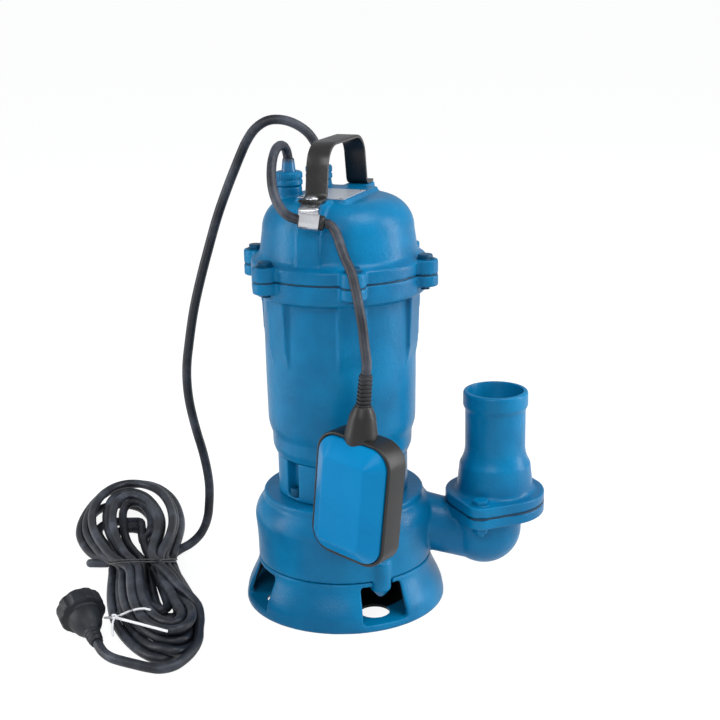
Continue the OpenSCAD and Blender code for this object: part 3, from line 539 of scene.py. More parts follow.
class Bench:
    """Modelling steps in millimetres, each on one mesh object."""

    @staticmethod
    def clear() -> None:
        """Leaves edit mode and deselects everything."""
        if bpy.context.object is not None and bpy.context.object.mode != "OBJECT":
            bpy.ops.object.mode_set(mode="OBJECT")
        bpy.ops.object.select_all(action="DESELECT")

    @classmethod
    def only(cls, piece: bpy.types.Object) -> None:
        """Makes one piece the active and only selected one.

        Args:
            piece: The object.
        """
        cls.clear()
        piece.select_set(True)
        bpy.context.view_layer.objects.active = piece

    @classmethod
    def edit(cls, piece: bpy.types.Object, action: Callable[[], None]) -> None:
        """Runs edit mode steps on the whole of a piece.

        Args:
            piece: The mesh object.
            action: The steps, which find all of the mesh selected.
        """
        cls.only(piece)
        bpy.ops.object.mode_set(mode="EDIT")
        bpy.ops.mesh.select_mode(type="VERT")
        bpy.ops.mesh.select_all(action="SELECT")
        action()
        bpy.ops.object.mode_set(mode="OBJECT")

    @classmethod
    def tidy(cls, piece: bpy.types.Object) -> None:
        """Merges doubles and turns every face outwards.

        Args:
            piece: The mesh object.
        """
        def steps() -> None:
            """Merge, drop what is loose, and face outwards."""
            bpy.ops.mesh.remove_doubles(threshold=1e-6)
            bpy.ops.mesh.dissolve_degenerate(threshold=1e-7)
            bpy.ops.mesh.delete_loose()
            bpy.ops.mesh.select_all(action="SELECT")
            bpy.ops.mesh.normals_make_consistent(inside=False)
        cls.edit(piece, steps)

    @classmethod
    def outline(cls, name: str, points: Sequence[Point], fill: bool = False) -> bpy.types.Object:
        """A circle primitive drawn out to a closed outline.

        Args:
            name: The piece's name.
            points: Its corners in order, in millimetres.
            fill: Whether it is a face.

        Returns:
            The new object.
        """
        cls.clear()
        bpy.ops.mesh.primitive_circle_add(vertices=len(points), radius=1,
                                          fill_type="NGON" if fill else "NOTHING")
        piece = bpy.context.object
        piece.name = name
        for vertex, point in zip(piece.data.vertices, points):
            vertex.co = Vector(point) * MM
        return piece

    @classmethod
    def lathe(cls, name: str, profile: Sequence[Flat], steps: int = 192,
              at: Flat = (0.0, 0.0)) -> bpy.types.Object:
        """A closed outline spun about a vertical axis.

        Args:
            name: The piece's name.
            profile: Radius and height of each corner of the closed outline.
            steps: How many steps the spin has.
            at: Where the axis stands.

        Returns:
            The new object.
        """
        piece = cls.outline(name, [(r, 0.0, z) for r, z in profile])

        def spin() -> None:
            """One whole turn."""
            bpy.ops.mesh.spin(steps=steps, angle=math.tau, center=(0, 0, 0), axis=(0, 0, 1))
        cls.edit(piece, spin)
        cls.tidy(piece)
        return cls.move(piece, Matrix.Translation((at[0] * MM, at[1] * MM, 0)))

    @classmethod
    def prism(cls, name: str, points: Sequence[Flat], low: float, high: float) -> bpy.types.Object:
        """A flat outline raised between two heights.

        Args:
            name: The piece's name.
            points: The outline's corners in order.
            low: Height of its underside.
            high: Height of its top.

        Returns:
            The new object.
        """
        piece = cls.outline(name, [(x, y, low) for x, y in points], fill=True)

        def lift() -> None:
            """Extrude upwards."""
            bpy.ops.mesh.extrude_region_move(
                TRANSFORM_OT_translate={"value": (0, 0, (high - low) * MM)})
        cls.edit(piece, lift)
        cls.tidy(piece)
        return piece

    @classmethod
    def post(cls, name: str, radius: float, low: float, high: float, at: Flat = (0.0, 0.0),
             sides: int = 64) -> bpy.types.Object:
        """An upright cylinder or prism.

        Args:
            name: The piece's name.
            radius: Radius over its corners.
            low: Height of its foot.
            high: Height of its top.
            at: Where it stands.
            sides: How many sides it has.

        Returns:
            The new object.
        """
        cls.clear()
        bpy.ops.mesh.primitive_cone_add(
            vertices=sides, radius1=radius * MM, radius2=radius * MM,
            depth=(high - low) * MM, location=(at[0] * MM, at[1] * MM, (low + high) / 2 * MM))
        piece = bpy.context.object
        piece.name = name
        bpy.ops.object.transform_apply(location=True, rotation=True, scale=True)
        return piece

    @classmethod
    def block(cls, name: str, low: Point, high: Point) -> bpy.types.Object:
        """A box between two corners.

        Args:
            name: The piece's name.
            low: Its lowest corner.
            high: Its highest corner.

        Returns:
            The new object.
        """
        cls.clear()
        bpy.ops.mesh.primitive_cube_add(size=1)
        piece = bpy.context.object
        piece.name = name
        middle = (Vector(low) + Vector(high)) / 2 * MM
        size = (Vector(high) - Vector(low)) * MM
        return cls.move(piece, Matrix.Translation(middle) @ Matrix.Diagonal((*size, 1)))

    @staticmethod
    def move(piece: bpy.types.Object, matrix: Matrix) -> bpy.types.Object:
        """Moves a piece's mesh and leaves its object at the origin.

        Args:
            piece: The mesh object.
            matrix: The move, in metres.

        Returns:
            The same object.
        """
        piece.data.transform(piece.matrix_world)
        piece.matrix_world = Matrix.Identity(4)
        piece.data.transform(matrix)
        piece.data.update()
        return piece

    @classmethod
    def turn(cls, piece: bpy.types.Object, degrees: float, axis: str = "Z") -> bpy.types.Object:
        """Turns a piece about an axis through the origin.

        Args:
            piece: The mesh object.
            degrees: The angle.
            axis: X, Y or Z.

        Returns:
            The same object.
        """
        return cls.move(piece, Matrix.Rotation(math.radians(degrees), 4, axis))

    @classmethod
    def ring(cls, piece: bpy.types.Object, count: int, first: float) -> bpy.types.Object:
        """Copies a piece about the pump's axis and joins the copies.

        Args:
            piece: A piece modelled at the front.
            count: How many there are in the end.
            first: Turn of the first one, in degrees.

        Returns:
            The joined object.
        """
        parts = []
        for index in range(count):
            part = piece.copy()
            part.data = piece.data.copy()
            bpy.context.scene.collection.objects.link(part)
            parts.append(cls.turn(part, first + 360 * index / count))
        cls.drop(piece)
        return cls.join(parts)

    @staticmethod
    def drop(piece: bpy.types.Object) -> None:
        """Deletes a piece that was only a tool.

        Args:
            piece: The mesh object.
        """
        mesh = piece.data
        bpy.data.objects.remove(piece)
        bpy.data.meshes.remove(mesh)

    @classmethod
    def join(cls, parts: Sequence[bpy.types.Object]) -> bpy.types.Object:
        """Joins several pieces into the first.

        Args:
            parts: The pieces.

        Returns:
            The first piece, which now holds them all.
        """
        cls.clear()
        for part in parts:
            part.select_set(True)
        bpy.context.view_layer.objects.active = parts[0]
        if len(parts) > 1:
            bpy.ops.object.join()
        return parts[0]

    @classmethod
    def modify(cls, piece: bpy.types.Object, kind: str, **settings: object) -> bpy.types.Object:
        """Adds one modifier and applies it.

        Args:
            piece: The mesh object.
            kind: The modifier's type.
            settings: Its settings.

        Returns:
            The same object.
        """
        cls.only(piece)
        modifier = piece.modifiers.new(kind.lower(), kind)
        for name, value in settings.items():
            setattr(modifier, name, value)
        bpy.ops.object.modifier_apply(modifier=modifier.name)
        return piece

    @classmethod
    def cut(cls, piece: bpy.types.Object, *tools: bpy.types.Object) -> bpy.types.Object:
        """Cuts tools out of a piece and deletes them.

        Args:
            piece: The mesh object.
            tools: Closed shapes.

        Returns:
            The same object.
        """
        for tool in tools:
            cls.modify(piece, "BOOLEAN", operation="DIFFERENCE", solver="MANIFOLD", object=tool)
            cls.drop(tool)
        return piece

    @classmethod
    def cast(cls, parts: Sequence[bpy.types.Object], voxel: float = 1.2,
             passes: int = 6) -> bpy.types.Object:
        """Runs overlapping shapes together as one casting with soft inner and outer corners.

        Args:
            parts: Closed shapes that overlap.
            voxel: Size of the cells that the skin is made from.
            passes: How often the skin is smoothed.

        Returns:
            The casting.
        """
        piece = cls.join(parts)
        cls.modify(piece, "REMESH", mode="VOXEL", voxel_size=voxel * MM)
        cls.modify(piece, "SMOOTH", factor=0.5, iterations=passes)
        cls.only(piece)
        bpy.ops.object.shade_smooth()
        return piece

    @classmethod
    def round_edges(cls, piece: bpy.types.Object, width: float, segments: int = 3,
                    angle: float = 30.0) -> bpy.types.Object:
        """Rounds the sharp edges of a piece and shades it smooth.

        Args:
            piece: The mesh object.
            width: Width of the rounding.
            segments: Facets across it.
            angle: The least angle of an edge that is rounded, in degrees.

        Returns:
            The same object.
        """
        cls.modify(piece, "BEVEL", width=width * MM, segments=segments, limit_method="ANGLE",
                   angle_limit=math.radians(angle))
        return cls.shade(piece, 40.0)

    @classmethod
    def shade(cls, piece: bpy.types.Object, angle: float = 35.0) -> bpy.types.Object:
        """Shades a piece smooth up to an angle.

        Args:
            piece: The mesh object.
            angle: The largest angle that is shaded smooth, in degrees.

        Returns:
            The same object.
        """
        cls.only(piece)
        bpy.ops.object.shade_smooth_by_angle(angle=math.radians(angle))
        return piece

    @classmethod
    def strip(cls, name: str, path: Sequence[Flat], width: float, thick: float,
              edge: float = 0.4) -> bpy.types.Object:
        """A flat strip bent along a path in the YZ plane.

        Args:
            name: The piece's name.
            path: Y and Z of the middle of its thickness.
            width: Width, along X.
            thick: Thickness.
            edge: Rounding of its edges.

        Returns:
            The new object.
        """
        cls.clear()
        bpy.ops.mesh.primitive_plane_add(size=1)
        piece = bpy.context.object
        piece.name = name
        (y0, z0), (y1, z1) = path[0], path[1]
        corners = {(-1, -1): (y0, z0), (1, -1): (y0, z0), (-1, 1): (y1, z1), (1, 1): (y1, z1)}
        for vertex in piece.data.vertices:
            key = (1 if vertex.co.x > 0 else -1, 1 if vertex.co.y > 0 else -1)
            y, z = corners[key]
            vertex.co = Vector((key[0] * width / 2, y, z)) * MM
            vertex.select = key[1] > 0
        for edge_ in piece.data.edges:
            edge_.select = all(piece.data.vertices[i].select for i in edge_.vertices)
        for face in piece.data.polygons:
            face.select = False
        cls.only(piece)
        bpy.ops.object.mode_set(mode="EDIT")
        bpy.ops.mesh.select_mode(type="EDGE")
        for (ya, za), (yb, zb) in zip(path[1:], path[2:]):
            bpy.ops.mesh.extrude_region_move(
                TRANSFORM_OT_translate={"value": (0, (yb - ya) * MM, (zb - za) * MM)})
        bpy.ops.object.mode_set(mode="OBJECT")
        cls.modify(piece, "SOLIDIFY", thickness=thick * MM, offset=0, use_even_offset=True)
        cls.tidy(piece)
        return cls.round_edges(piece, edge, 2, 50)


# Stands a prism's outline up in Y and Z, with its height along X.
UPRIGHT = Matrix(((0, 0, 1, 0), (1, 0, 0, 0), (0, 1, 0, 0), (0, 0, 0, 1)))


def arc(cx: float, cy: float, radius: float, start: float, end: float, steps: int) -> list[Flat]:
    """Points of a circular arc.

    Args:
        cx: Centre, first axis.
        cy: Centre, second axis.
        radius: Radius.
        start: First angle, in degrees.
        end: Last angle, in degrees.
        steps: How many steps it has.

    Returns:
        The points.
    """
    angles = [math.radians(start + (end - start) * i / steps) for i in range(steps + 1)]
    return [(cx + radius * math.cos(a), cy + radius * math.sin(a)) for a in angles]


def rounded(half_x: float, half_y: float, radius: float, steps: int) -> list[Flat]:
    """A rectangle's outline with rounded corners.

    Args:
        half_x: Half its width.
        half_y: Half its height.
        radius: Radius of its corners.
        steps: How many steps each corner has.

    Returns:
        The points.
    """
    points: list[Flat] = []
    for x, y, start in ((1, 1, 0), (-1, 1, 90), (-1, -1, 180), (1, -1, 270)):
        points += arc(x * (half_x - radius), y * (half_y - radius), radius, start, start + 90, steps)
    return points


def ease(x: float) -> float:
    """Smooth step from 0 to 1."""
    x = min(1.0, max(0.0, x))
    return x * x * (3 - 2 * x)


def finish_piece(piece: bpy.types.Object, name: str, finish: Finish, *nodes: str,
                 body: Body = Body.PUMP) -> bpy.types.Object:
    """Names a finished piece, dresses it, and says what it moves with and stands for.

    Args:
        piece: The finished object.
        name: Its name.
        finish: Its finish.
        nodes: The nodes that it stands for.
        body: The body it moves with.

    Returns:
        The same object.
    """
    piece.name = name
    piece.data.materials.clear()
    piece.data.materials.append(finish.material())
    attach(piece, body.value)
    if nodes:
        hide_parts(*nodes)
    faces = len(piece.data.polygons) if piece.type == "MESH" else 0
    log.info("%s: %d faces, rides on %s, stands for %s", name, faces, body.value, nodes or "itself")
    return piece


def finish_casting(piece: bpy.types.Object, name: str, node: str, finish: Finish = PAINT) -> None:
    """Shades and finishes one of the painted castings.

    Args:
        piece: The casting.
        name: Its name.
        node: The node that it stands for.
        finish: Its paint.
    """
    Bench.shade(piece, 50)
    finish_piece(piece, name, finish, node)


# ----------------------------------------------------------------- the studio


@dataclass
class Studio:
    """Floor, soft lights and the camera."""

    camera_at: Point = (6.63, -1267.91, 592.51)
    pitch: float = 15.83
    roll: float = 0.96
    yaw: float = 0.5
    lens: float = 70.92
    floor_size: float = 60.0
    floor_grey: float = 0.86
    floor_glow: float = 1.2
    floor_share: float = 0.75
    floor_in_gloss: float = 0.6
    sky_light: float = 0.38
    sky_in_gloss: float = 0.12
    aim: Point = (0.0, 0.0, 0.2)

    def build(self) -> None:
        """Makes everything that isn't the pump."""
        self.camera()
        self.floor()
        self.world()
        self.light("key_front", (-0.5, -1.9, 1.6), (1.2, 1.2), 21.0)
        self.light("strip_left", (-1.7, -0.1, 0.6), (0.5, 1.6), 17.0)
        self.light("strip_right", (1.8, 0.0, 0.7), (0.5, 1.6), 26.0)
        self.light("top_right", (0.9, -0.5, 2.0), (0.9, 0.9), 22.0)

    def camera(self) -> None:
        """Stands the camera where the pump is seen from slightly above."""
        yaw, pitch, roll = (math.radians(a) for a in (self.yaw, self.pitch, self.roll))
        ahead = Vector((math.sin(yaw) * math.cos(pitch), math.cos(yaw) * math.cos(pitch), -math.sin(pitch)))
        level = Vector((math.cos(yaw), -math.sin(yaw), 0))
        above = level.cross(ahead)
        right = math.cos(roll) * level - math.sin(roll) * above
        up = math.sin(roll) * level + math.cos(roll) * above
        data = bpy.data.cameras.new("camera")
        data.sensor_width, data.lens, data.clip_start, data.clip_end = 36.0, self.lens, 0.02, 100.0
        camera = bpy.data.objects.new("camera", data)
        bpy.context.scene.collection.objects.link(camera)
        turned = Matrix((right, up, -ahead)).transposed().to_4x4()
        camera.matrix_world = Matrix.Translation(Vector(self.camera_at) * MM) @ turned
        bpy.context.scene.camera = camera
        bpy.context.scene.view_settings.view_transform = "Standard"

    def floor(self) -> None:
        """A pale floor that keeps a soft shadow."""
        Bench.clear()
        bpy.ops.mesh.primitive_plane_add(size=self.floor_size)
        floor = bpy.context.object
        floor.name = "floor"
        material = bpy.data.materials.new("pale_floor")
        material.use_nodes = True
        tree = material.node_tree
        nodes = NodeBook(tree)
        nodes.dress(Base_Color=(*[self.floor_grey] * 3, 1), Roughness=0.9, Specular_IOR_Level=0.0)
        glow = nodes.add("ShaderNodeEmission", None, {"Color": (1, 1, 1, 1), "Strength": self.floor_glow})
        share = nodes.seen(self.floor_in_gloss) * self.floor_share
        mixed = nodes.add("ShaderNodeMixShader", None,
                          {0: share, 1: Sock(nodes, nodes.shader.outputs[0]), 2: glow})
        tree.links.new(mixed.socket, tree.nodes["Material Output"].inputs["Surface"])
        floor.data.materials.append(material)

    def world(self) -> None:
        """White to the camera and to reflections, and a soft grey light."""
        world = bpy.data.worlds.new("studio")
        world.use_nodes = True
        bpy.context.scene.world = world
        tree = world.node_tree
        nodes = NodeBook(tree)
        light, shown = (nodes.add("ShaderNodeBackground", None, {"Color": colour, "Strength": strength})
                        for colour, strength in (((0.95, 0.98, 1.0, 1), self.sky_light), ((1, 1, 1, 1), 1.0)))
        mixed = nodes.add("ShaderNodeMixShader", None, {0: nodes.seen(self.sky_in_gloss), 1: light, 2: shown})
        tree.links.new(mixed.socket, tree.nodes["World Output"].inputs["Surface"])

    def light(self, name: str, at: Point, size: Flat, power: float) -> None:
        """One soft light aimed at the pump.

        Args:
            name: The light's name.
            at: Where it hangs, in metres.
            size: Width and height of its face, in metres.
            power: Its power, in watts.
        """
        data = bpy.data.lights.new(name, "AREA")
        data.shape = "RECTANGLE"
        data.size, data.size_y, data.energy = *size, power
        lamp = bpy.data.objects.new(name, data)
        bpy.context.scene.collection.objects.link(lamp)
        lamp.location = at
        lamp.rotation_euler = (Vector(self.aim) - Vector(at)).to_track_quat("-Z", "Y").to_euler()


# ------------------------------------------------------------------ the leads


class Route:
    """Points of a cord, in millimetres, and what can be done to them."""

    @staticmethod
    def smooth(points: Sequence[Sequence[float]], step: float) -> np.ndarray:
        """A smooth curve through the points, in even steps.

        Args:
            points: The points.
            step: The distance from point to point in the result.

        Returns:
            The curve's points.
        """
        p = np.array(points, float)
        p = np.vstack([2 * p[0] - p[1], p, 2 * p[-1] - p[-2]])
        knots = np.concatenate([[0], np.cumsum(np.sqrt(np.linalg.norm(np.diff(p, axis=0), axis=1)))])
        out = []
        for i in range(1, len(p) - 2):
            t = np.linspace(knots[i], knots[i + 1], 24, endpoint=False)[:, None]
            a = [((knots[j + 1] - t) * p[j] + (t - knots[j]) * p[j + 1]) / (knots[j + 1] - knots[j])
                 for j in (i - 1, i, i + 1)]
            b = [((knots[j + 2] - t) * a[k] + (t - knots[j]) * a[k + 1]) / (knots[j + 2] - knots[j])
                 for k, j in ((0, i - 1), (1, i))]
            out.append(((knots[i + 1] - t) * b[0] + (t - knots[i]) * b[1]) / (knots[i + 1] - knots[i]))
        return Route.even(np.vstack([*out, p[-2][None]]), step)

    @staticmethod
    def even(p: np.ndarray, step: float) -> np.ndarray:
        """The same line in even steps.

        Args:
            p: Its points.
            step: The distance from point to point.

        Returns:
            The new points.
        """
        along = np.concatenate([[0], np.cumsum(np.linalg.norm(np.diff(p, axis=0), axis=1))])
        count = max(3, int(round(along[-1] / step)) + 1)
        where = np.linspace(0, along[-1], count)
        return np.stack([np.interp(where, along, p[:, k]) for k in range(3)], 1)

    @staticmethod
    def length(p: np.ndarray) -> float:
        """Its length, in metres."""
        return float(np.linalg.norm(np.diff(p, axis=0), axis=1).sum()) * MM

    @staticmethod
    def cord(name: str, p: np.ndarray, diameter: float) -> bpy.types.Object:
        """A cord as a curve of one open spline.

        Args:
            name: The piece's name.
            p: Its centre line.
            diameter: Its diameter.

        Returns:
            The new object.
        """
        data = bpy.data.curves.new(name, "CURVE")
        data.dimensions = "3D"
        spline = data.splines.new("POLY")
        spline.points.add(len(p) - 1)
        flat = np.hstack([p * MM, np.ones((len(p), 1))]).astype(np.float32)
        spline.points.foreach_set("co", flat.ravel())
        spline.use_smooth = True
        data.bevel_depth = diameter / 2 * MM
        data.bevel_resolution = 4
        data.use_fill_caps = True
        data.twist_mode = "MINIMUM"
        piece = bpy.data.objects.new(name, data)
        bpy.context.scene.collection.objects.link(piece)
        return piece


@dataclass
class MainsLead:
    """The mains lead: an arch out of the gland, a hank tied at its waist, and the run to the plug.

    Each loop has the number of its near outline, the height of its strands there, the number of its far
    outline, and the heights at which the far side starts, turns and ends. `spacing`, `own_reach` and
    `pair_reach` count in diameters. A step in depth counts for `depth_scale` times less than one across.
    """

    diameter: float = 9.0
    step: float = 7.0
    fine_step: float = 3.2
    rounds: int = 260
    sink: float = 0.10
    stiff: Point = (0.10, 0.10, 0.35)
    pull: Point = (0.02, 0.02, 0.015)
    push: float = 1.1
    spacing: float = 1.01
    own_reach: float = 2.6
    pair_reach: float = 1.9
    per_side: int = 14
    depth_scale: float = 2.7
    joining: tuple[float, ...] = (0.1, 0.2, 0.35, 0.5)
    leans_to: Point = Studio.camera_at
    level: float = 22.0
    arch: tuple[Point, ...] = (
        (-17, 40, 398), (-17, 40, 410), (-17.4, 40.1, 421), (-21, 41, 432), (-30, 43, 442), (-42, 45, 448.5),
        (-54, 46, 451), (-66, 46.5, 449), (-76.5, 47, 441), (-84.5, 47, 429), (-91.5, 47, 414),
        (-102, 47, 390), (-113, 48, 362), (-123, 49, 331), (-131.5, 50.5, 303), (-139.5, 52.5, 273),
        (-146, 55.5, 240), (-150.5, 59.5, 210), (-150.5, 64, 180), (-146, 69, 148), (-139.5, 75, 115),
        (-136.5, 82, 84), (-138, 89, 60), (-141, 95, 41), (-146.5, 99.5, 26), (-154, 101.5, 15),
        (-162.5, 100.5, 8.5), (-171, 96, 5.4), (-177.5, 88.5, 4.8))
    near: tuple[tuple[Flat, ...], ...] = (
        ((-177.5, 19.8), (-163.2, -20.2), (-150.7, -54.1), (-140.3, -85.4), (-135.8, -126.5),
         (-140.3, -160.2), (-148.4, -186.1), (-157.3, -191.8), (-172.2, -175.3), (-188.4, -147.7),
         (-202.2, -119.1), (-212.1, -85.9), (-218.9, -50.2), (-225.2, -11.5), (-229.1, 27.4)),
        ((-179.2, 24.9), (-163.6, -15.1), (-149.4, -53.6), (-138.4, -85.4), (-134.1, -119.6),
         (-136.8, -144.9), (-146.9, -159.7), (-160.5, -155.8), (-177.2, -133.5), (-192.9, -107.7),
         (-205.4, -78.9), (-213.5, -42.5), (-218.6, -7.3), (-222.6, 32.1)),
        ((-181.9, 30.1), (-165.9, -9.6), (-149.8, -52.9), (-136.5, -89.2), (-136.9, -116), (-151, -127.1),
         (-171.8, -108.8), (-186.2, -90.8), (-200.5, -56.1), (-209.5, -12.1), (-214.2, 31.7)),
        ((-186.7, 35.4), (-171.8, -3.6), (-157.7, -40.1), (-146.1, -71.5), (-142.8, -94.9), (-150.7, -108.9),
         (-166.8, -99.6), (-182.2, -75.3), (-193.2, -48), (-200.7, -9.4), (-206.5, 31.3)),
        ((-189.5, 33.0), (-177.5, -12.1), (-168, -47.5), (-161, -71), (-162.5, -83), (-170.5, -83),
         (-181, -71), (-189, -47.5), (-194, -16), (-197, 20.5), (-198.3, 33)),
        ((-179.2, 24.9), (-163.6, -15.1), (-149.4, -53.6), (-138.4, -85.4), (-134.1, -119.6), (-137.5, -143),
         (-147.5, -154), (-158, -144), (-165, -122), (-169.5, -97), (-174.5, -70), (-180.5, -44), (-187, -14),
         (-193, 14), (-197, 33)))
    far: tuple[tuple[Flat, ...], ...] = (
        ((-232.8, 37.7), (-254.4, 58.3), (-270.5, 88.9), (-280.2, 116.4), (-283.2, 156), (-279, 196.9),
         (-272.6, 240), (-258.2, 265.1), (-233.8, 273.5), (-207.5, 250), (-188.1, 201.6), (-176.3, 144.6),
         (-174.6, 100.1), (-176.9, 62.1), (-179.3, 35)),
        ((-230.2, 47.9), (-251, 86.6), (-266.1, 126.5), (-275.3, 167.8), (-277.4, 214.3), (-268.5, 252.9),
         (-251.8, 268.8), (-227.3, 264.1), (-204.1, 229.7), (-188.1, 181.4), (-181.5, 133.5), (-182.7, 88.5),
         (-186.5, 50.9)),
        ((-225.4, 58.1), (-242.9, 102.4), (-255.8, 149.1), (-262.4, 198.3), (-259.1, 236.9), (-244.3, 249.4),
         (-224.8, 228.4), (-205.7, 189), (-194.8, 145.9), (-193.2, 105.4), (-194.2, 61.8)),
        ((-218.4, 68.4), (-231, 113), (-240.3, 166.3), (-243.5, 203.6), (-235.3, 219.2), (-220.5, 196.1),
         (-207.6, 158.5), (-203.1, 111.6), (-202.4, 67.6)),
        ((-232.3, 48), (-255, 83.7), (-270, 120.8), (-274.8, 162.1), (-265.6, 189.1), (-246.1, 197.5),
         (-226.2, 187), (-208.3, 155.5), (-198.3, 111.3), (-197.7, 72.7)),
        ((-229.8, 45.3), (-247.2, 75.2), (-259.8, 106.1), (-262.8, 137.7), (-255.4, 153.8), (-240.1, 157.2),
         (-222.8, 146.2), (-210.5, 120.5), (-202, 81)),
        ((-224.5, 50.5), (-234.5, 72), (-241.5, 94), (-237.5, 113), (-226, 122), (-211.5, 118.5), (-203, 99),
         (-200.5, 74)))
    loops: tuple[tuple[float, float, float, Point], ...] = (
        (5.0, 5, 6.0, (5, 5, 5)), (0.3, 5, 4.0, (6, 8, 6)), (3.3, 7, 5.0, (8, 14, 10)),
        (0.9, 14, 0.0, (11, 30, 20)), (4.0, 15, 3.0, (16, 21, 16)), (1.7, 22, 0.5, (19, 31, 24)),
        (2.0, 24, 2.0, (26, 29, 28)), (2.5, 32, 1.0, (30, 33, 32)), (3.0, 33, 2.35, (34, 37, 36)))
    last: tuple[Point, ...] = (
        (-182.6, 1.4, 38), (-168.9, -28.8, 37), (-154.2, -55.7, 34), (-142, -77, 29), (-134.1, -97.4, 23),
        (-131.8, -120.8, 17), (-136.9, -140.7, 11), (-147.2, -157.7, 7), (-159.1, -164.7, 5),
        (-174.5, -156, 5), (-190.5, -147, 5))
    run: tuple[Point, ...] = ((-205.5, -140.5, 5.0), (-216, -129.5, 5.8), (-221.8, -117.4, 9.03))

    def lean(self, x: float, y: float, z: float) -> Point:
        """A point of the level outlines, moved along the pile's lean to a height.

        Args:
            x: Its x at the outlines' level.
            y: Its y at the outlines' level.
            z: The height.

        Returns:
            The leaning point.
        """
        cx, cy, cz = self.leans_to
        share = (z - self.level) / (self.level - cz)
        return x + share * (x - cx), y + share * (y - cy), z

    def between(self, outlines: Sequence[Sequence[Flat]], number: float) -> np.ndarray:
        """An outline between two numbered ones.

        Args:
            outlines: The outlines.
            number: Which one, with the share of the next as its fraction.

        Returns:
            The points.
        """
        made = []
        for outline in (outlines[int(number)], outlines[min(int(number) + 1, len(outlines) - 1)]):
            p = np.array(outline, float)
            steps = np.linalg.norm(np.diff(p, axis=0) / (1.0, self.depth_scale), axis=1)
            along = np.concatenate([[0], np.cumsum(steps)])
            where = np.linspace(0, along[-1], self.per_side)
            made.append(np.stack([np.interp(where, along, p[:, k]) for k in range(2)], 1))
        part = number - int(number)
        return made[0] * (1 - part) + made[1] * part

    def laid(self) -> tuple[np.ndarray, np.ndarray]:
        """The hank's strands before they settle.

        Returns:
            The whole lead's points, and how freely each may move.
        """
        strands: list[Point] = []
        before = 5.0
        for near, level, far, (low, high, end) in self.loops:
            for i, (x, y) in enumerate(self.between(self.near, near)):
                part = min(1.0, (i + 1) / 5)
                strands.append(self.lean(x, y, before * (1 - part) + level * part))
            for i, (x, y) in enumerate(self.between(self.far, far)):
                t = i / (self.per_side - 1)
                side = low if t < 0.5 else end
                rise = side + (high - side) * (1 - math.cos(math.tau * t)) / 2
                part = min(1.0, (i + 1) / 4)
                strands.append(self.lean(x, y, level * (1 - part) + rise * part))
            before = end
        strands += self.last
        arch = Route.smooth([*self.arch, strands[0]], self.step)[:-1]
        hank = Route.smooth(strands, self.step)
        run = Route.smooth([strands[-1], *self.run], self.step)[1:]
        points = np.vstack([arch, hank, run])
        free = np.concatenate([np.zeros(len(arch)), np.ones(len(hank)), np.zeros(len(run))])
        free[len(arch) - len(self.joining):len(arch)] = self.joining
        for i in range(len(run)):
            free[len(arch) + len(hank) + i] = max(0.0, 1 - i / 6)
        return points, free

    def settle(self, points: np.ndarray, free: np.ndarray) -> np.ndarray:
        """Lets the strands sink onto the floor and onto each other.

        Args:
            points: The lead's points.
            free: How freely each may move, from 0 to 1.

        Returns:
            The settled points.
        """
        home, p = points.copy(), points.copy()
        reach, skip = self.diameter * self.spacing, int(self.diameter * self.own_reach / self.step) + 1
        weight = free[:, None]
        first = second = np.zeros(0, int)
        for turn in range(self.rounds):
            if turn % 5 == 0:
                gap = ((p[:, None, :] - p[None, :, :]) ** 2).sum(2)
                first, second = np.argwhere(np.triu(gap < (self.diameter * self.pair_reach) ** 2, skip)).T
            p[:, 2] -= self.sink * free
            middle = (np.roll(p, 1, 0) + np.roll(p, -1, 0)) / 2 - p
            middle[0] = middle[-1] = 0
            p += weight * middle * np.array(self.stiff)
            p += weight * (home - p) * np.array(self.pull)
            for _ in range(2):
                apart = p[first] - p[second]
                apart[:, 2] += np.where(np.abs(apart[:, 2]) < 0.5, np.sign(first - second) * 0.5, 0)
                far = np.maximum(np.linalg.norm(apart, axis=1), 1e-3)
                push = np.maximum(reach - far, 0)[:, None] * apart / far[:, None]
                share = free[first] + free[second] + 1e-6
                move, count = np.zeros_like(p), np.ones(len(p))
                np.add.at(move, first, push * (free[first] / share)[:, None])
                np.add.at(move, second, -push * (free[second] / share)[:, None])
                hit = (reach > far).astype(float)
                np.add.at(count, first, hit)
                np.add.at(count, second, hit)
                p += move / np.sqrt(count)[:, None] * self.push
            low = self.diameter / 2 + 0.1
            p[:, 2] = np.where(free > 0, np.maximum(p[:, 2], low), p[:, 2])
        return p

    def build(self) -> None:
        """Makes the lead."""
        points, free = self.laid()
        settled = self.settle(points, free)
        thinned = settled[::2] if len(settled) % 2 else np.vstack([settled[::2], settled[-1:]])
        self.line = Route.smooth(thinned, self.fine_step)
        self.piece = Route.cord("mains_cord", self.line, self.diameter)
        finish_piece(self.piece, "mains_cord", LEAD, "mains_lead", "mains_hank", "mains_tail")

    def declare(self) -> None:
        """Says what cord it is.
        """
        round(Route.length(self.line), 2)
        log.info("mains lead: %.2f m", Route.length(self.line))


@dataclass
class Clip:
    """Where the clip under the strap holds the float's lead, and the reach of its rubber sleeve."""

    at: Point = (-23.82, -76.745, 378.0)
    turn: float = -5.0
    tilt: float = 9.0
    sleeve: Flat = (-10.0, 13.0)

    def frame(self) -> Matrix:
        """The lead's axis in the clip, with +X along the lead."""
        return (Matrix.Translation(Vector(self.at) * MM) @ Matrix.Rotation(math.radians(self.turn), 4, "Z")
                @ Matrix.Rotation(math.radians(self.tilt), 4, "Y"))


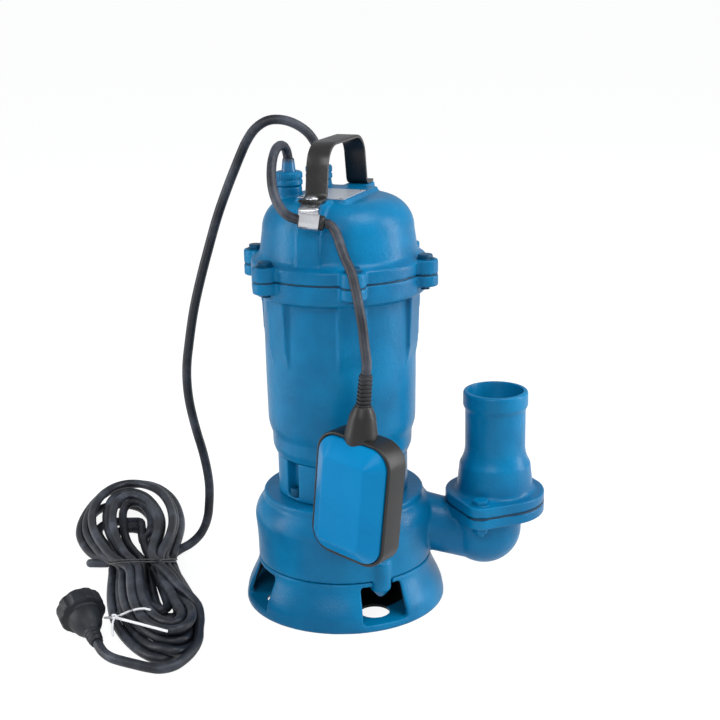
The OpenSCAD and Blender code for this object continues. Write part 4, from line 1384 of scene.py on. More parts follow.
@dataclass
class FloatLead:
    """The float's lead: a stiff loop from its gland to the clip, and the free part to the float."""

    clip: Clip
    switch: "Float"
    diameter: float = 8.5
    step: float = 3.0

    def build(self) -> None:
        """Makes both parts and logs their lengths."""
        at, axis = np.array(self.clip.at), np.array(self.clip.frame().col[0][:3])
        start, stop = self.clip.sleeve
        fixed = [(-43.5, 3, 398), (-43.5, 3, 410), (-43.7, 2.6, 421), (-45.2, -2.6, 430),
                 (-48.6, -12.5, 434.6), (-52.4, -24, 433.4), (-55.2, -35, 427), (-56.4, -45, 417.5),
                 (-55.8, -54, 406.5), (-53.2, -61.5, 396.5), (-48.8, -67.8, 388.3), (-43, -72.3, 382.8),
                 *(tuple(at + along * axis) for along in (start, 0, stop))]
        hung = self.switch.frame()
        end = np.array(hung @ (Vector((self.switch.boot_x, 0, self.switch.relief_top)) * MM)) / MM
        up = np.array(hung.col[2][:3])
        swing = [*(tuple(at + (stop + past) * axis) for past in (0.3, 4)),
                 (-1.8, -82.2, 369), (2.2, -88.6, 358), (6, -95.5, 348.5), (10.5, -101.5, 339),
                 (14, -108.5, 325), (16.6, -114.5, 311.5), (19, -119.5, 297), (20.5, -124, 281.5),
                 tuple(end + 9 * up), tuple(end)]
        for name, points, body, node in (("float_cord_fixed", fixed, Body.PUMP, "float_lead_fixed"),
                                         ("float_cord_free", swing, Body.FLOAT, "float_lead_swing")):
            line = Route.smooth(points, self.step)
            piece = Route.cord(name, line, self.diameter)
            finish_piece(piece, name, LEAD, node, body=body)
            round(Route.length(line), 3)
            log.info("%s: %.3f m", name, Route.length(line))


@dataclass
class Plug:
    """The moulded plug with its gripped collar and pins."""

    at: Point = (-245, -73.7, 25.1)
    turn: float = -62.0
    tilt: float = 18.0
    lobes: int = 10
    pin_gap: float = 19.0

    def frame(self) -> Matrix:
        """Where the plug lies, with +Z from its face back to its lead."""
        return (Matrix.Translation(Vector(self.at) * MM) @ Matrix.Rotation(math.radians(self.turn), 4, "Z")
                @ Matrix.Rotation(math.radians(90 + self.tilt), 4, "Y"))

    def build(self) -> list[bpy.types.Object]:
        """Makes the plug.

        Returns:
            The plug's pieces.
        """
        body = Bench.lathe("plug", [(0, 6), (16.5, 6), (17.2, 5.2), (17.4, 0.6), (18, 0), (20.3, 0),
                                    (21.2, 0.6), (21.5, 1.6), (21.5, 12.4), (20.9, 14), (19.4, 15),
                                    (16.6, 15.6), (15.6, 17), (15.1, 21), (14.2, 25), (12.6, 29.5),
                                    (10.6, 33), (8.6, 35.6), (7.6, 37.4), (7.2, 39), (7.3, 40.2), (6.6, 41),
                                    (6.6, 42.4), (7.1, 43.2), (7, 44.4), (6.4, 45.2), (6.3, 46.8),
                                    (6.7, 47.6), (6.5, 48.8), (6, 49.6), (5.7, 51.9), (0, 51.9)], 160)
        grips = [Bench.turn(Bench.post("grip", 8, -1, 30, (0, -28), sides=48), 18 + 360 * index / self.lobes)
                 for index in range(self.lobes)]
        holes = [Bench.post("hole", 2.4, 5, 14, (0, side * self.pin_gap / 2), sides=32) for side in (-1, 1)]
        Bench.cut(body, *grips, *holes)
        Bench.round_edges(body, 0.7, 3, 25)
        Bench.move(body, self.frame())
        return [finish_piece(body, "plug_body", PLUG_RUBBER, "mains_plug")]


@dataclass
class Ties:
    """The white wire tie on the near loops and the dark tie at the waist."""

    lead: MainsLead
    pile_top: float = 60.0
    step: float = 1.2
    blunt_step: float = 0.8
    made: list[bpy.types.Object] = field(default_factory=list)

    def level(self) -> np.ndarray:
        """Takes the pile's lean out of the lead.

        Returns:
            The lead's points at the outlines' level, with their own heights.
        """
        cx, cy, cz = self.lead.leans_to
        p = self.lead.line
        share = (self.lead.level - cz) / (p[:, 2:] - cz)
        return np.hstack([(p[:, :2] - (cx, cy)) * share + (cx, cy), p[:, 2:]])

    def hull(self, y: float, low: float, high: float, clear: float) -> list[Point]:
        """The outline round the strands that cross a leaning plane.

        Args:
            y: Where the plane stands at the outlines' level.
            low: Least x of a strand that counts.
            high: Greatest x of a strand that counts.
            clear: Distance from a strand's middle to the tie's middle.

        Returns:
            The outline's points, anticlockwise, with the lean taken out.
        """
        p = self.level()
        a, b = p[:-1], p[1:]
        cross = (a[:, 1] - y) * (b[:, 1] - y) < 0
        t = ((y - a[cross, 1]) / (b[cross, 1] - a[cross, 1]))[:, None]
        hits = (a[cross] + (b[cross] - a[cross]) * t)[:, (0, 2)]
        hits = hits[(hits[:, 0] > low) & (hits[:, 0] < high) & (hits[:, 1] < self.pile_top)]
        spread = [(x + clear * math.cos(q), z + clear * math.sin(q)) for x, z in hits
                  for q in np.linspace(0, math.tau, 16, endpoint=False)]
        spread = sorted((x, max(z, 2.0)) for x, z in spread)

        def half(points: Iterable[Flat]) -> list[Flat]:
            """One side of the outline.

            Args:
                points: The spread points in order.

            Returns:
                Those on the outside.
            """
            side: list[Flat] = []
            for q in points:
                while len(side) > 1 and ((side[-1][0] - side[-2][0]) * (q[1] - side[-2][1])
                                         - (side[-1][1] - side[-2][1]) * (q[0] - side[-2][0])) <= 0:
                    side.pop()
                side.append(q)
            return side[:-1]
        return [(x, y, z) for x, z in half(spread) + half(reversed(spread))]

    def over(self, x: float, y: float, clear: float) -> Point:
        """A point that rests on the strands, given by its place with the lean taken out.

        Args:
            x: Its x at the outlines' level.
            y: Its y at the outlines' level.
            clear: Height of the wire's middle above the strands.

        Returns:
            The leaning point.
        """
        reach = self.lead.diameter / 2
        z = self.lead.level
        for _ in range(4):
            at = np.array(self.lead.lean(x, y, z))
            flat = np.linalg.norm(self.lead.line[:, :2] - at[:2], axis=1)
            under = (flat < reach) & (self.lead.line[:, 2] < self.pile_top)
            tops = self.lead.line[under, 2] + np.sqrt(reach ** 2 - flat[under] ** 2)
            z = float(tops.max()) + clear if under.any() else z
        return self.lead.lean(x, y, z)

    def drape(self, flat: Sequence[Flat], clear: float, count: int = 16, reach: int = 1) -> list[Point]:
        """A wire's route over the strands, held taut from strand to strand.

        Args:
            flat: Its corners, with the lean taken out.
            clear: Height of the wire's middle above the strands.
            count: How many points the route has.
            reach: How many points to each side share the greatest height.

        Returns:
            The route's points.
        """
        p = np.array(flat, float)
        along = np.concatenate([[0], np.cumsum(np.linalg.norm(np.diff(p, axis=0), axis=1))])
        where = np.linspace(0, along[-1], count)
        spots = np.stack([np.interp(where, along, p[:, k]) for k in range(2)], 1)
        heights = [self.over(x, y, clear)[2] for x, y in spots]
        return [self.lead.lean(x, y, max(heights[max(0, i - reach):i + reach + 1]))
                for i, (x, y) in enumerate(spots)]

    def wire(self, name: str, points: Sequence[Sequence[float]], thick: float, finish: Finish,
             *nodes: str, blunt: bool = False) -> None:
        """Makes a bent wire.

        Args:
            name: The piece's name.
            points: Its route.
            thick: Its thickness.
            finish: Its finish.
            nodes: The nodes that it stands for.
            blunt: Whether its ends are rounded.
        """
        line = Route.smooth(points, self.blunt_step if blunt else self.step)
        piece = Route.cord(name, line, thick)
        if blunt:
            for i, point in enumerate(piece.data.splines[0].points):
                near = min(i, len(line) - 1 - i) * self.blunt_step / (thick / 2)
                point.radius = math.sqrt(max(0.02, 1 - (1 - min(1.0, near)) ** 2))
        Bench.only(piece)
        bpy.ops.object.convert(target="MESH")
        piece = bpy.context.object
        self.made.append(finish_piece(piece, name, finish, *nodes))

    def build(self) -> list[bpy.types.Object]:
        """Makes both ties.

        Returns:
            Their pieces.
        """
        lean = self.lead.lean
        top = self.drape(((-208.5, -94), (-202, -87), (-196, -81), (-190, -77.5), (-184, -77),
                          (-179.5, -79.5)), 1.5)
        under = [lean(x, y, z) for x, y, z in ((-177, -81, 20), (-178, -82, 6), (-190, -85, 1.4),
                                               (-206, -90, 1.4), (-216.5, -94, 1.6), (-218, -94, 6),
                                               (-214.5, -94.5, 13))]
        knot = top[0]
        self.wire("tie_loop", [*top, *under, (knot[0] - 0.8, knot[1] + 0.6, knot[2] - 0.4)], 2.2,
                  TIE_WHITE, "hank_tie")
        tail = self.drape(((-208.5, -94), (-158, -123.5)), 1.8, 12, 12)
        self.wire("tie_tail", [knot, *tail[2:]], 2.4, TIE_WHITE)
        end = self.drape(((-209, -97), (-209, -106), (-207.5, -117), (-205, -130)), 1.5, 8, 1)
        self.wire("tie_end", [knot, *end], 2.2, TIE_WHITE)
        twist = [(knot[0] - 0.4 + 1.8 * math.cos(a), knot[1] - 1 + 1.8 * math.sin(a), knot[2] - 1 + a * 0.4)
                 for a in np.linspace(0, 3.2 * math.pi, 22)]
        self.wire("tie_twist", twist, 2.0, TIE_WHITE)
        self.wire("waist_end", [(-263, 64, 6.2), (-257, 65, 5.6), (-248, 66, 4.8), (-238, 66, 4.8)], 8.6,
                  TIE_PALE, blunt=True)
        waist = self.hull(30.0, -262, -160, 5.3)
        for index, offset in enumerate((-1.5, 1.5)):
            ring = [lean(x, y + 2 * offset + 0.8 * math.sin(i), z)
                    for i, (x, y, z) in enumerate([*waist, waist[0]])]
            self.wire(f"waist_wire_{index}", ring, 1.6, TIE_BLACK, *(("waist_tie",) if index == 0 else ()))
        return self.made


# --------------------------------------------------------------- the castings


@dataclass
class Foot:
    """The flared foot with its suction windows."""

    radius: float = 95.0
    height: float = 43.7
    floor: float = 7.0
    recess: float = 4.4
    plate_r: float = 18.0
    roof: float = 39.5
    wall: float = 5.0
    skirt_r: float = 94.2
    flare: float = 12.0
    hole_circle: float = 66.0
    hole_r: float = 14.2
    window_turn: float = 24.0
    window_angle: float = 28.0
    lug_turn: float = 25.0
    screw_turn: float = 114.0

    def skirt(self, z: float) -> float:
        """Radius of the flared skirt at a height."""
        return self.skirt_r - self.flare * ease((z - self.floor) / (self.height - self.floor))

    def build(self) -> None:
        """Makes the foot."""
        heights = [self.floor + 0.6 + (self.height - self.floor - 0.6) * i / 16 for i in range(17)]
        body = Bench.lathe("foot_casting", [
            (self.plate_r, self.recess), (88.0, self.recess), (89.2, 0.0), (self.radius - 1.4, 0.0),
            (self.radius - 0.2, 0.6), (self.radius, 1.6), (self.radius - 0.1, 5.6),
            *[(self.skirt(z), z) for z in heights],
            (58.0, self.height), (58.0, self.roof), (77.6, self.roof),
            *[(self.skirt(z) - self.wall, z) for z in reversed(heights[1:14])],
            (89.0, self.floor), (self.plate_r, self.floor)])
        half = self.window_angle / 2
        window = Bench.prism("window", arc(0, 0, 62, -90 - half, -90 + half, 1)
                             + arc(0, 0, 101, -90 + half, -90 - half, 5), self.floor, self.roof)
        lug = Bench.post("lug_room", 10.2, 20, 50, (0, -77), sides=64)
        Bench.cut(body, Bench.ring(window, 4, self.window_turn), Bench.ring(lug, 2, self.lug_turn))
        Bench.cast([body], 1.25, 4)
        flare = Bench.lathe("wrench_hole", [(0, -2), (16.6, -2), (16.6, 0), (15.2, 1.8), (self.hole_r, 3.6),
                                            (self.hole_r, 9), (0, 9)], 64, (0, -self.hole_circle))
        screws = Bench.post("screw_hole", 4.3, 30, 50, (0, -self.hole_circle), sides=32)
        Bench.cut(body, Bench.ring(flare, 4, self.window_turn), Bench.ring(screws, 2, self.screw_turn))
        # the foot's inside gets painted shade from its paint
        finish_casting(body, "foot_casting", "foot", FOOT_PAINT_SHADED_INSIDE)


@dataclass
class Outlet:
    """The two-eared flange that the casing and the hose tail share."""

    x: float = 144.2
    flange_r: float = 47.0
    bolt_r: float = 46.5
    ear_r: float = 13.0
    ear_turn: float = -22.4
    tail_z: float = 94.6
    top: float = 104.1
    tail_r: float = 28.4
    bore_r: float = 25.5
    lip_z: float = 201.5

    def outline(self) -> list[Flat]:
        """The flange's outline about its own axis.

        Returns:
            The points.
        """
        lean = math.degrees(math.acos((self.flange_r - self.ear_r) / self.bolt_r))
        ear = arc(0, self.bolt_r, self.ear_r, 90 - lean, 90 + lean, 20)
        points: list[Flat] = []
        for side, sign in ((0, 1), (180, -1)):
            points += arc(0, 0, self.flange_r, side + lean - 90, side + 180 - lean - 90, 24)
            points += [(sign * x, sign * y) for x, y in ear]
        return points

    def flange(self, name: str, low: float, high: float) -> bpy.types.Object:
        """One flange, in place.

        Args:
            name: The piece's name.
            low: Height of its underside.
            high: Height of its top.

        Returns:
            The new object.
        """
        piece = Bench.prism(name, self.outline(), low, high)
        Bench.turn(piece, self.ear_turn)
        return Bench.move(piece, Matrix.Translation((self.x * MM, 0, 0)))

    def bolts(self, piece: bpy.types.Object) -> bpy.types.Object:
        """Puts a piece modelled about the origin at both flange bolts.

        Args:
            piece: The piece.

        Returns:
            Both copies, joined.
        """
        Bench.move(piece, Matrix.Translation((0, -self.bolt_r * MM, 0)))
        both = Bench.ring(piece, 2, self.ear_turn)
        return Bench.move(both, Matrix.Translation((self.x * MM, 0, 0)))

    def build(self) -> None:
        """Makes the hose tail."""
        flange = self.flange("tail_flange", self.tail_z, self.top)
        lip = [(0, -18.5), (0.4, -17), (1.8, -14.6), (2.2, -13), (2.1, -2), (1.4, -0.3), (0.6, 0)]
        neck = Bench.lathe("tail_neck", [
            (0, self.top - 2), (37.6, self.top - 2), (37.6, self.top + 1.0), (36.2, self.top + 2.8),
            *arc(60, 148, 31.6, 213, 180, 12), *[(self.tail_r + r, self.lip_z + z) for r, z in lip],
            (0, self.lip_z)], 160, (self.x, 0))
        body = Bench.cast([flange, neck], 1.1, 5)
        bore = Bench.lathe("bore", [
            (0, 90), (21, 90), (21.2, 103), (self.bore_r, 121), (self.bore_r, self.lip_z - 1.9),
            (self.bore_r + 1.2, self.lip_z + 1), (0, self.lip_z + 1)], 128, (self.x, 0))
        Bench.cut(body, bore, self.bolts(Bench.post("bolt_hole", 4.4, 80, 120, sides=32)))
        finish_casting(body, "tail_casting", "hose_tail")


@dataclass
class Casing:
    """The pump casing with its branch and elbow."""

    outlet: Outlet
    foot: Foot
    top: float = 110.0
    branch_x: Flat = (66.0, 120.0)

    def build(self) -> None:
        """Makes the casing."""
        body = Bench.lathe("casing_body", [
            (0, 44.0), (81.6, 44.0), (82.2, 44.8), (82.4, 60), (82.9, 70), (83.8, 80),
            *arc(58.4, 84, 26, 4, 50, 12), (75.5, 104.3), (75.5, self.top - 1.2), (74.3, self.top),
            (0, self.top)])
        lug = Bench.lathe("lug", [(0, 26.2), (1.8, 26.4), (3.2, 27.6), (9.7, 35), (9.7, 61), (8.6, 62),
                                  (0, 62)], 64, (0, -77))
        start, stop = self.branch_x
        branch = Bench.prism("branch", arc(0, 0, 28, 0, 360, 47)[:-1], start, stop)
        for vertex in branch.data.vertices:
            x, y, z = vertex.co / MM
            along = (z - start) / (stop - start)
            taper = 1 - 0.04 * along
            vertex.co = Vector((z, y * taper, 76 - 15 * along - x * taper)) * MM
        Bench.tidy(branch)
        pot = Bench.lathe("pot", [(0, 30.5), *arc(0, 66, 35.5, -84, 0, 20), (35.5, 84), (0, 84)], 128,
                          (134, 0))
        flange = self.outlet.flange("casing_flange", 83.0, 93.0)
        cast = Bench.cast([body, Bench.ring(lug, 2, self.foot.lug_turn), branch, pot, flange], 1.25, 5)
        volute = Bench.lathe("volute", [(0, 54), (73, 54), (73, 99), (50, 99), (50, 112), (0, 112)], 128)
        Bench.cut(cast, volute, Bench.post("eye_room", 46, 40, 55, sides=96),
                  Bench.post("throat", 21, 66, 100, (self.outlet.x, 0), sides=64))
        passage = Bench.post("passage", 18, 0, 80, sides=48)
        Bench.move(passage, Matrix.Translation((0.058, 0, 0.070)) @ Matrix.Rotation(math.radians(96), 4, "Y"))
        Bench.cut(cast, passage, self.outlet.bolts(Bench.post("bolt_hole", 4.4, 80, 96, sides=32)),
                  Bench.ring(Bench.post("foot_screw_hole", 4, 40, 53, (0, -self.foot.hole_circle), sides=24),
                             2, self.foot.screw_turn),
                  Bench.block("over_flange", (96, -70, 93.05), (216, 70, 113)))
        finish_casting(cast, "casing_casting", "pump_casing")


@dataclass
class Chamber:
    """The oil chamber with its screw pockets."""

    radius: float = 61.0
    low: float = 110.4
    high: float = 147.9
    pocket_turn: float = -50.0

    def build(self) -> None:
        """Makes the oil chamber."""
        body = Bench.lathe("chamber_body", [(9, 100.5), (49.7, 100.5), (49.7, self.low),
                                            (self.radius - 1, self.low), (self.radius, self.low + 1),
                                            (self.radius, self.high), (9, self.high)])
        pocket = Bench.prism("pocket", [(-8, -64), (8, -64), (8, -51), (6, -49), (-6, -49), (-8, -51)],
                             114, 160)
        Bench.cut(body, Bench.ring(pocket, 4, self.pocket_turn))
        Bench.cast([body], 1.1, 4)
        Bench.cut(body, Bench.lathe("oil_room", [(0, 104.5), (17, 104.5), (17, 118), (45, 118), (45, 138),
                                                 (16, 138), (16, 150), (0, 150)], 96),
                  Bench.ring(Bench.post("screw_hole", 4.3, 98, 116, (0, -55.5), sides=24), 4,
                             self.pocket_turn))
        finish_casting(body, "chamber_casting", "oil_chamber")


@dataclass
class Lugs:
    """The six square-shouldered lugs round the cover bolts."""

    circle: float = 82.8
    radius: float = 11.5
    first: float = 8.5

    def build(self, low: float, high: float) -> bpy.types.Object:
        """All six lugs between two heights.

        Args:
            low: Height of their underside.
            high: Height of their top.

        Returns:
            The joined lugs.
        """
        outline = [(-self.radius, -self.circle + 16), *arc(0, -self.circle, self.radius, 180, 360, 24),
                   (self.radius, -self.circle + 16)]
        return Bench.ring(Bench.prism("lug", outline, low, high), 6, self.first)

    def holes(self, low: float, high: float, radius: float = 4.3) -> bpy.types.Object:
        """The six bolt holes between two heights.

        Args:
            low: Height of their foot.
            high: Height of their top.
            radius: Their radius.

        Returns:
            The joined cutters.
        """
        return Bench.ring(Bench.post("hole", radius, low, high, (0, -self.circle), sides=32), 6, self.first)


@dataclass
class Housing:
    """The motor housing with its flange and the ribs under the lugs."""

    lugs: Lugs
    low: float = 148.0
    flange_z: float = 320.4

    def build(self) -> None:
        """Makes the motor housing."""
        z = self.low
        body = Bench.lathe("housing_body", [
            (0, z), (60.8, z), (62.4, z + 1.2), (65, z + 8), (65.4, z + 20), (66.4, z + 23), (68, z + 28),
            (68.8, z + 33), (69.4, z + 70), (70, 299.5), (73, 301), (78.5, 302.4), (79.7, 303.6), (80, 305),
            (80, self.flange_z), (0, self.flange_z)])
        rib = Bench.prism("rib", [(-62, 236), (-68.8, 240), (-72, 256), (-74.2, 305), (-62, 305)],
                          -12.5, 12.5)
        Bench.move(rib, UPRIGHT)
        cast = Bench.cast([body, self.lugs.build(310, self.flange_z), Bench.ring(rib, 6, self.lugs.first)],
                          1.3, 4)
        Bench.cut(cast, Bench.lathe("motor_room", [(0, 140), (17, 140), (17, 150), (20, 150), (20, 162),
                                                   (27, 162), (27, 158), (58, 158), (58, 166), (62.1, 166),
                                                   (62.1, 300), (64.6, 300), (64.6, 330), (0, 330)], 128),
                  self.lugs.holes(306, 330, 4))
        finish_casting(cast, "housing_casting", "motor_housing")


@dataclass
class Cover:
    """The domed top cover with the handle's buttresses, pad and glands."""

    lugs: Lugs
    cover_z: float = 321.4
    lug_top: float = 334.2
    dome_top: float = 387.5
    crown_r: float = 29.0
    crown_x: float = 40.0
    wall: float = 5.0
    pad_z: float = 390.5
    turn: float = -21.5
    glands: tuple[Flat, Flat] = ((-43.5, 3.0), (-17.0, 40.0))

    def build(self) -> None:
        """Makes the top cover."""
        middle = self.dome_top - self.crown_r
        shoulder = arc(self.crown_x, middle, self.crown_r, 0, 90, 20)
        body = Bench.lathe("cover_body", [
            (0, self.cover_z), (80, self.cover_z), (80, 331.5), (79.3, 332.8), (78, 333.6), (74.4, 335.4),
            (72, 338.5), (71.2, 343), *shoulder, (0, self.dome_top)])
        top = self.pad_z - 1.3
        side = Bench.prism("buttress", [(-30, 332), (-74.4, 332), (-72.6, 341), (-72.6, 361), (-69.9, 367),
                                        (-69.4, 384), (-66.5, top), (-30, top)], -11.2, 11.2)
        side = Bench.ring(Bench.move(side, UPRIGHT), 2, self.turn)
        pad = Bench.prism("pad", rounded(25, 42, 5, 4), 384, self.pad_z)
        bridge = Bench.block("bridge", (-11.2, -52, 384), (11.2, 67.5, self.pad_z))
        bosses = [Bench.post("boss", 11.8, 372, 397, at, sides=64) for at in self.glands]
        cast = Bench.cast([body, self.lugs.build(self.cover_z, self.lug_top), side,
                           Bench.turn(pad, self.turn), Bench.turn(bridge, self.turn), *bosses], 1.2, 4)
        hollow = arc(self.crown_x, middle, self.crown_r - self.wall, 0, 90, 12)
        Bench.cut(cast, Bench.lathe("hollow", [(0, 300), (64.6, 300), (64.6, 330), (65, 335), (65, 340),
                                               *hollow, (0, self.dome_top - self.wall)], 128),
                  self.lugs.holes(310, 340),
                  *[Bench.post("gland_hole", 6.2, 376, 400, at, sides=48) for at in self.glands])
        finish_casting(cast, "cover_casting", "top_cover")


# ---------------------------------------------------------- handle and fixings


@dataclass
class HandleSet:
    """The strap handle, its screws and the clip of the float's lead."""

    cover: Cover
    held: Clip
    top: float = 439.0
    width: float = 20.5
    thick: float = 3.0
    screw_y: float = 60.0
    clip_width: float = 17.0
    clip_thick: float = 1.2
    hoop: float = 7.3

    def handle(self) -> None:
        """The bent strap."""
        middle, pad = self.top - self.thick / 2, self.cover.pad_z
        half = [(0.0, middle), *arc(24.5, middle - 21, 21, 90, 5, 16),
                *arc(54.5, pad + self.thick / 2 + 5.5, 5.5, 185, 270, 8), (66.4, pad + self.thick / 2)]
        path = [(-y, z) for y, z in reversed(half[1:])] + half
        strap = Bench.strip("strap", path, self.width, self.thick, 0.7)
        Bench.cut(strap, *[Bench.post("hole", 3.2, pad - 3, pad + 6, (0, side * self.screw_y), sides=32)
                           for side in (-1, 1)])
        Bench.shade(strap, 40)
        finish_piece(Bench.turn(strap, self.cover.turn), "handle_strap", STRAP, "handle")

    def screws(self) -> None:
        """Two pan head screws with a slot."""
        seat = self.cover.pad_z + self.thick + 0.02
        crown = seat + 3.6
        head = Bench.lathe("screw", [
            (0, seat - 11), (2.9, seat - 11), (2.9, seat), (5.8, seat), (6, seat + 0.3),
            *arc(0, crown - 7.5, 7.5, 38, 88, 8), (0, crown)], 48, (0, -self.screw_y))
        Bench.cut(head, Bench.block("slot", (-0.6, -70, seat + 2.2), (0.6, -50, seat + 6)))
        Bench.round_edges(head, 0.25, 2, 40)
        finish_piece(Bench.ring(head, 2, self.cover.turn), "strap_screws", STEEL, "handle_screws")

    def clip(self) -> None:
        """The steel clip, from its tab under the strap round the sleeve."""
        hoop, height = self.hoop, self.held.at[2]
        drop = self.cover.pad_z - self.clip_thick / 2 - 0.05 - height
        path = ([(-hoop - 0.2, drop - 3.4), (-hoop, drop - 6)]
                + [(-y, z) for y, z in arc(0, 0, hoop, 0, -172, 22)])
        strap = Bench.strip("hoop", path, self.clip_width, self.clip_thick, 0.3)
        Bench.move(strap, self.held.frame())
        tab = [(4.4, drop), *arc(-25.8, drop - 2.5, 2.5, 90, 180, 6), (-28.3, drop - 5.5)]
        foot = Bench.strip("tab", tab, self.clip_width, self.clip_thick, 0.3)
        angle = math.radians(self.cover.turn)
        screw = Vector((self.screw_y * math.sin(angle), -self.screw_y * math.cos(angle), height)) * MM
        Bench.move(foot, Matrix.Translation(screw) @ Matrix.Rotation(math.radians(self.held.turn), 4, "Z"))
        finish_piece(Bench.join([strap, foot]), "lead_clip", STEEL, "cable_clip")

    def rubber(self) -> None:
        """The rubber sleeve, which bulges on both sides of the clip."""
        a, b = self.held.sleeve
        sleeve = Bench.lathe("sleeve", [(4.26, a), (5.2, a + 0.1), (6.2, a + 0.6), (6.58, a + 1.4),
                                        (6.58, -8.6), (6.4, -8), (6.4, 8.2), (6.58, 9), (6.58, b - 1.4),
                                        (6.2, b - 0.5), (5.2, b - 0.1), (4.26, b)], 96)
        Bench.turn(sleeve, 90, "Y")
        Bench.shade(Bench.move(sleeve, self.held.frame()), 40)
        finish_piece(sleeve, "clip_rubber", SEAL, "clip_sleeve")

    def build(self) -> None:
        """Makes every piece of the handle."""
        self.handle()
        self.screws()
        self.clip()
        self.rubber()


@dataclass
class Glands:
    """The knurled gland nuts and the boots of both leads."""

    cover: Cover
    seat: float = 397.0
    flutes: int = 28

    def build(self) -> None:
        """Makes both glands."""
        z = self.seat
        leads = (FloatLead.diameter / 2, MainsLead.diameter / 2)
        for name, at, lead in zip(("float", "mains"), self.cover.glands, leads):
            nut = Bench.lathe("nut", [(lead + 2.4, z + 0.3), (11.7, z + 0.3), (12.3, z + 1.0),
                                      (12.4, z + 1.6), (12.4, z + 4.2), (12.1, z + 4.8), (11.6, z + 5.3),
                                      (11.6, z + 6.1), (12.1, z + 6.5), (12.4, z + 7), (12.4, z + 10.6),
                                      (12.0, z + 11.4), (11.2, z + 12.2), (10.6, z + 12.5),
                                      (lead + 2.4, z + 12.5)], 112, at)
            flute = Bench.post("flute", 0.7, z + 6.6, z + 13, (0, -12.75), sides=12)
            flutes = Bench.move(Bench.ring(flute, self.flutes, 0),
                                Matrix.Translation((at[0] * MM, at[1] * MM, 0)))
            Bench.cut(nut, flutes)
            Bench.shade(nut, 32)
            finish_piece(nut, f"{name}_gland", PAINT, f"{name}_gland_nut")
            boot = Bench.lathe("boot", [(lead + 0.05, z + 0.4), (lead + 2.3, z + 0.4), (lead + 2.3, z + 12.6),
                                        (lead + 2.1, z + 13.6), (lead + 1.5, z + 19), (lead + 1.1, z + 22.6),
                                        (lead + 0.7, z + 24), (lead + 0.05, z + 24)], 64, at)
            Bench.shade(boot, 40)
            finish_piece(boot, f"{name}_boot", BOOT, f"{name}_lead_boot")


@dataclass
class Bolts:
    """Hexagon bolts and nuts with chamfered heads."""

    lugs: Lugs
    outlet: Outlet

    def bolt(self, radius: float, height: float, shank_r: float, shank: float, seat: float,
             washer: float = 0.0) -> bpy.types.Object:
        """One bolt about the origin, its head up.

        Args:
            radius: Radius over the head's corners.
            height: Height of the head.
            shank_r: Radius of the shank.
            shank: Length of the shank.
            seat: Height that the head sits on.
            washer: Radius of the flange under the head, if it has one.

        Returns:
            The new object.
        """
        crown, fall = seat + height, radius * 0.16
        head = Bench.post("head", radius, seat, crown, sides=6)
        Bench.cut(head, Bench.lathe("chamfer", [
            (radius * 0.84, crown + 0.01), (radius * 1.06, crown - fall), (radius * 1.3, crown - fall),
            (radius * 1.3, crown + 0.5), (radius * 0.84, crown + 0.5)], 48))
        Bench.round_edges(head, 0.25, 2, 30)
        parts = [head, Bench.post("shank", shank_r, seat - shank, seat + 0.4, sides=32)]
        if washer:
            parts.append(Bench.lathe("washer", [(shank_r - 0.2, seat), (washer, seat),
                                                (washer + 0.2, seat + 0.4), (washer - 0.3, seat + 0.9),
                                                (shank_r - 0.2, seat + 0.9)], 64))
        return Bench.join(parts)

    def build(self) -> None:
        """Makes the cover bolts, the outlet bolts and their nuts."""
        bolt = self.bolt(radius=7.1, height=4.2, shank_r=3.9, shank=27.4, seat=Cover.lug_top, washer=8.0)
        Bench.move(bolt, Matrix.Translation((0, -self.lugs.circle * MM, 0)))
        finish_piece(Bench.ring(bolt, 6, self.lugs.first), "cover_bolt_heads", FIXING_PAINT, "cover_bolts")
        bolt = self.bolt(radius=7.5, height=4.8, shank_r=3.9, shank=31, seat=self.outlet.top, washer=8.6)
        finish_piece(self.outlet.bolts(bolt), "outlet_bolt_heads", OUTLET_PAINT, "outlet_bolts")
        nut = Bench.post("nut", 7.5, 76.5, 83, sides=6)
        Bench.cut(nut, Bench.post("thread", 4.0, 70, 90, sides=32))
        Bench.round_edges(nut, 0.5, 2, 30)
        finish_piece(self.outlet.bolts(nut), "outlet_nut_set", OUTLET_PAINT, "outlet_nuts")


# ------------------------------------------------------------------ the float


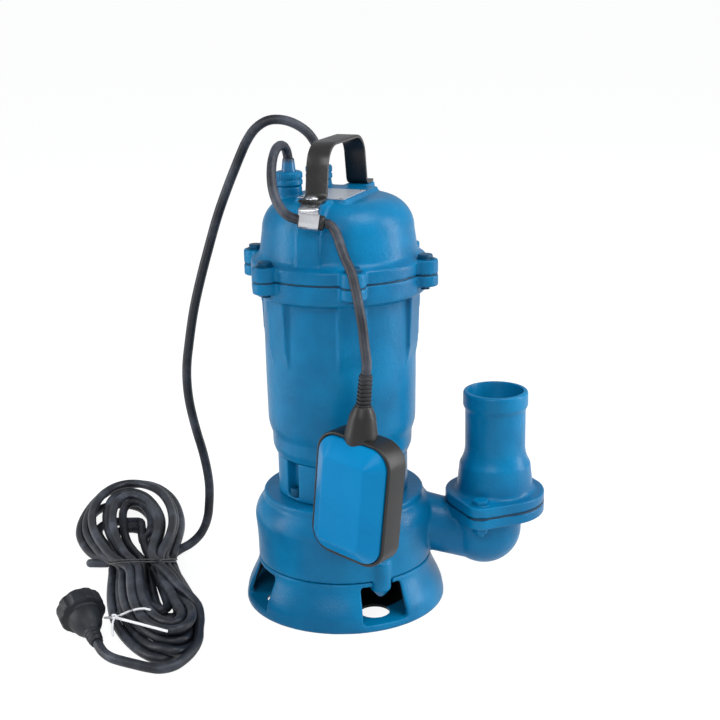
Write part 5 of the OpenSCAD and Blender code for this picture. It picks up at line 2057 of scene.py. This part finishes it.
@dataclass
class Float:
    """The float switch: a black shell with a bevelled blue cover and a ribbed strain relief."""

    at: Point = (12.3, -122.3, 145.7)
    yaw: float = -38.5
    roll: float = 6.4
    height: float = 113.5
    width: float = 79.0
    depth: float = 24.0
    corner: float = 21.0
    rim_y: float = -11.0
    boot_x: float = -1.0
    relief_z: float = 84.0
    relief_top: float = 112.0
    bevel: float = 14.6
    panel: float = 11.9

    def frame(self) -> Matrix:
        """Where the float hangs, with -Y out of its blue face."""
        return (Matrix.Translation(Vector(self.at) * MM) @ Matrix.Rotation(math.radians(self.yaw), 4, "Z")
                @ Matrix.Rotation(math.radians(self.roll), 4, "Y"))

    def slab(self, name: str, inset: float, front: float, back: float) -> bpy.types.Object:
        """An upright slab with rounded corners.

        Args:
            name: The piece's name.
            inset: How far its sides lie inside the shell's.
            front: Its front, on the Y axis.
            back: Its back.

        Returns:
            The new object.
        """
        outline = rounded(self.width / 2 - inset, self.height / 2 - inset, self.corner - inset, 14)
        return Bench.turn(Bench.prism(name, outline, -back, -front), 90, "X")

    def shell(self) -> None:
        """The black shell with its rounded back, rim and boot."""
        back = self.rim_y + self.depth
        body = self.slab("shell", 0.0, self.rim_y, back)
        Bench.cut(body, self.slab("room", 3.4, self.rim_y - 1, back - 3))
        Bench.round_edges(body, 4.2, 6, 60)
        x, low = self.boot_x, self.height / 2
        boot = Bench.lathe("boot", [(0, low - 6), (14.6, low - 6), (14.6, low), (14.2, low + 2.5),
                                    (13.4, low + 6), (12.4, low + 12), (11.3, low + 18), (10.2, low + 21),
                                    (8.4, low + 24.5), (7.2, self.relief_z - 0.4), (6.8, self.relief_z),
                                    (0, self.relief_z)], 96, (x, 0))
        Bench.cut(boot, Bench.post("bore", 5.2, low - 7, self.relief_z + 1, (x, 0), sides=48))
        Bench.shade(boot, 40)
        whole = Bench.join([body, boot])
        Bench.move(whole, self.frame())
        finish_piece(whole, "float_case", FLOAT_BLACK, "float_shell", body=Body.FLOAT)

    def cover(self) -> None:
        """The blue cover: a flat panel between wide bevels."""
        piece = self.slab("cover", 3.5, self.rim_y - 1.6, self.rim_y + 4)

        def face() -> None:
            """Inset the front and draw the panel forward."""
            bpy.ops.mesh.select_all(action="DESELECT")
            bpy.ops.object.mode_set(mode="OBJECT")
            for polygon in piece.data.polygons:
                polygon.select = polygon.normal.y < -0.9
            bpy.ops.object.mode_set(mode="EDIT")
            bpy.ops.mesh.select_mode(type="FACE")
            bpy.ops.mesh.inset(thickness=self.bevel * MM, depth=0)
            bpy.ops.transform.translate(value=(0, -self.panel * MM, 0))
        Bench.edit(piece, face)
        Bench.tidy(piece)
        Bench.round_edges(piece, 1.6, 4, 12)
        Bench.move(piece, self.frame())
        finish_piece(piece, "float_face", FLOAT_BLUE, "float_cover", body=Body.FLOAT)

    def relief(self) -> None:
        """The ribbed strain relief."""
        ribs = 8
        pitch = (self.relief_top - self.relief_z) / ribs
        outer: list[Flat] = [(5.0, self.relief_z - 8), (5.1, self.relief_z)]
        for k in range(ribs):
            z, r = self.relief_z + pitch * k, 6.5 - 0.08 * k
            outer += [(r - 0.5, z), (r, z + 0.4), (r, z + 1.6), (r - 0.5, z + 2.0), (5.1, z + 2.1),
                      (5.1, z + pitch - 0.1)]
        outer += [(4.6, self.relief_top), (4.3, self.relief_top), (4.3, self.relief_z - 8)]
        piece = Bench.lathe("relief", outer, 64, (self.boot_x, 0))
        Bench.shade(Bench.move(piece, self.frame()), 40)
        finish_piece(piece, "float_relief", SEAL, "float_strain_relief", body=Body.FLOAT)

    def build(self) -> None:
        """Makes every piece of the float."""
        self.shell()
        self.cover()
        self.relief()


# ------------------------------------------------------------------- the rest


def dress_nodes() -> None:
    """Gives every node of the frame the finish of its slot."""
    by_slot = {finish.slot: finish for finish in FINISHES}
    for row in frame["record"]["subparts"]:
        node = frame["nodes"][row["node"]]
        material = by_slot[row["material_slot"]].material()
        node.data.materials.clear()
        node.data.materials.append(material)
    for name in ("cover_gasket", "outlet_gasket"):
        frame["nodes"][name].data.materials[0] = PAINTED_JOINT.material()


def main() -> None:
    """Builds the pump piece by piece."""
    Studio().build()
    dress_nodes()
    lead = MainsLead()
    lead.build()
    clip, switch = Clip(), Float()
    FloatLead(clip, switch).build()
    plug = Plug().build()
    ties = Ties(lead).build()
    lead.declare()
    foot, outlet, lugs = Foot(), Outlet(), Lugs()
    cover = Cover(lugs)
    for part in (foot, Casing(outlet, foot), Chamber(), Housing(lugs), cover, outlet, HandleSet(cover, clip),
                 Glands(cover), Bolts(lugs, outlet), switch):
        part.build()


if __name__ == "__main__":
    main()
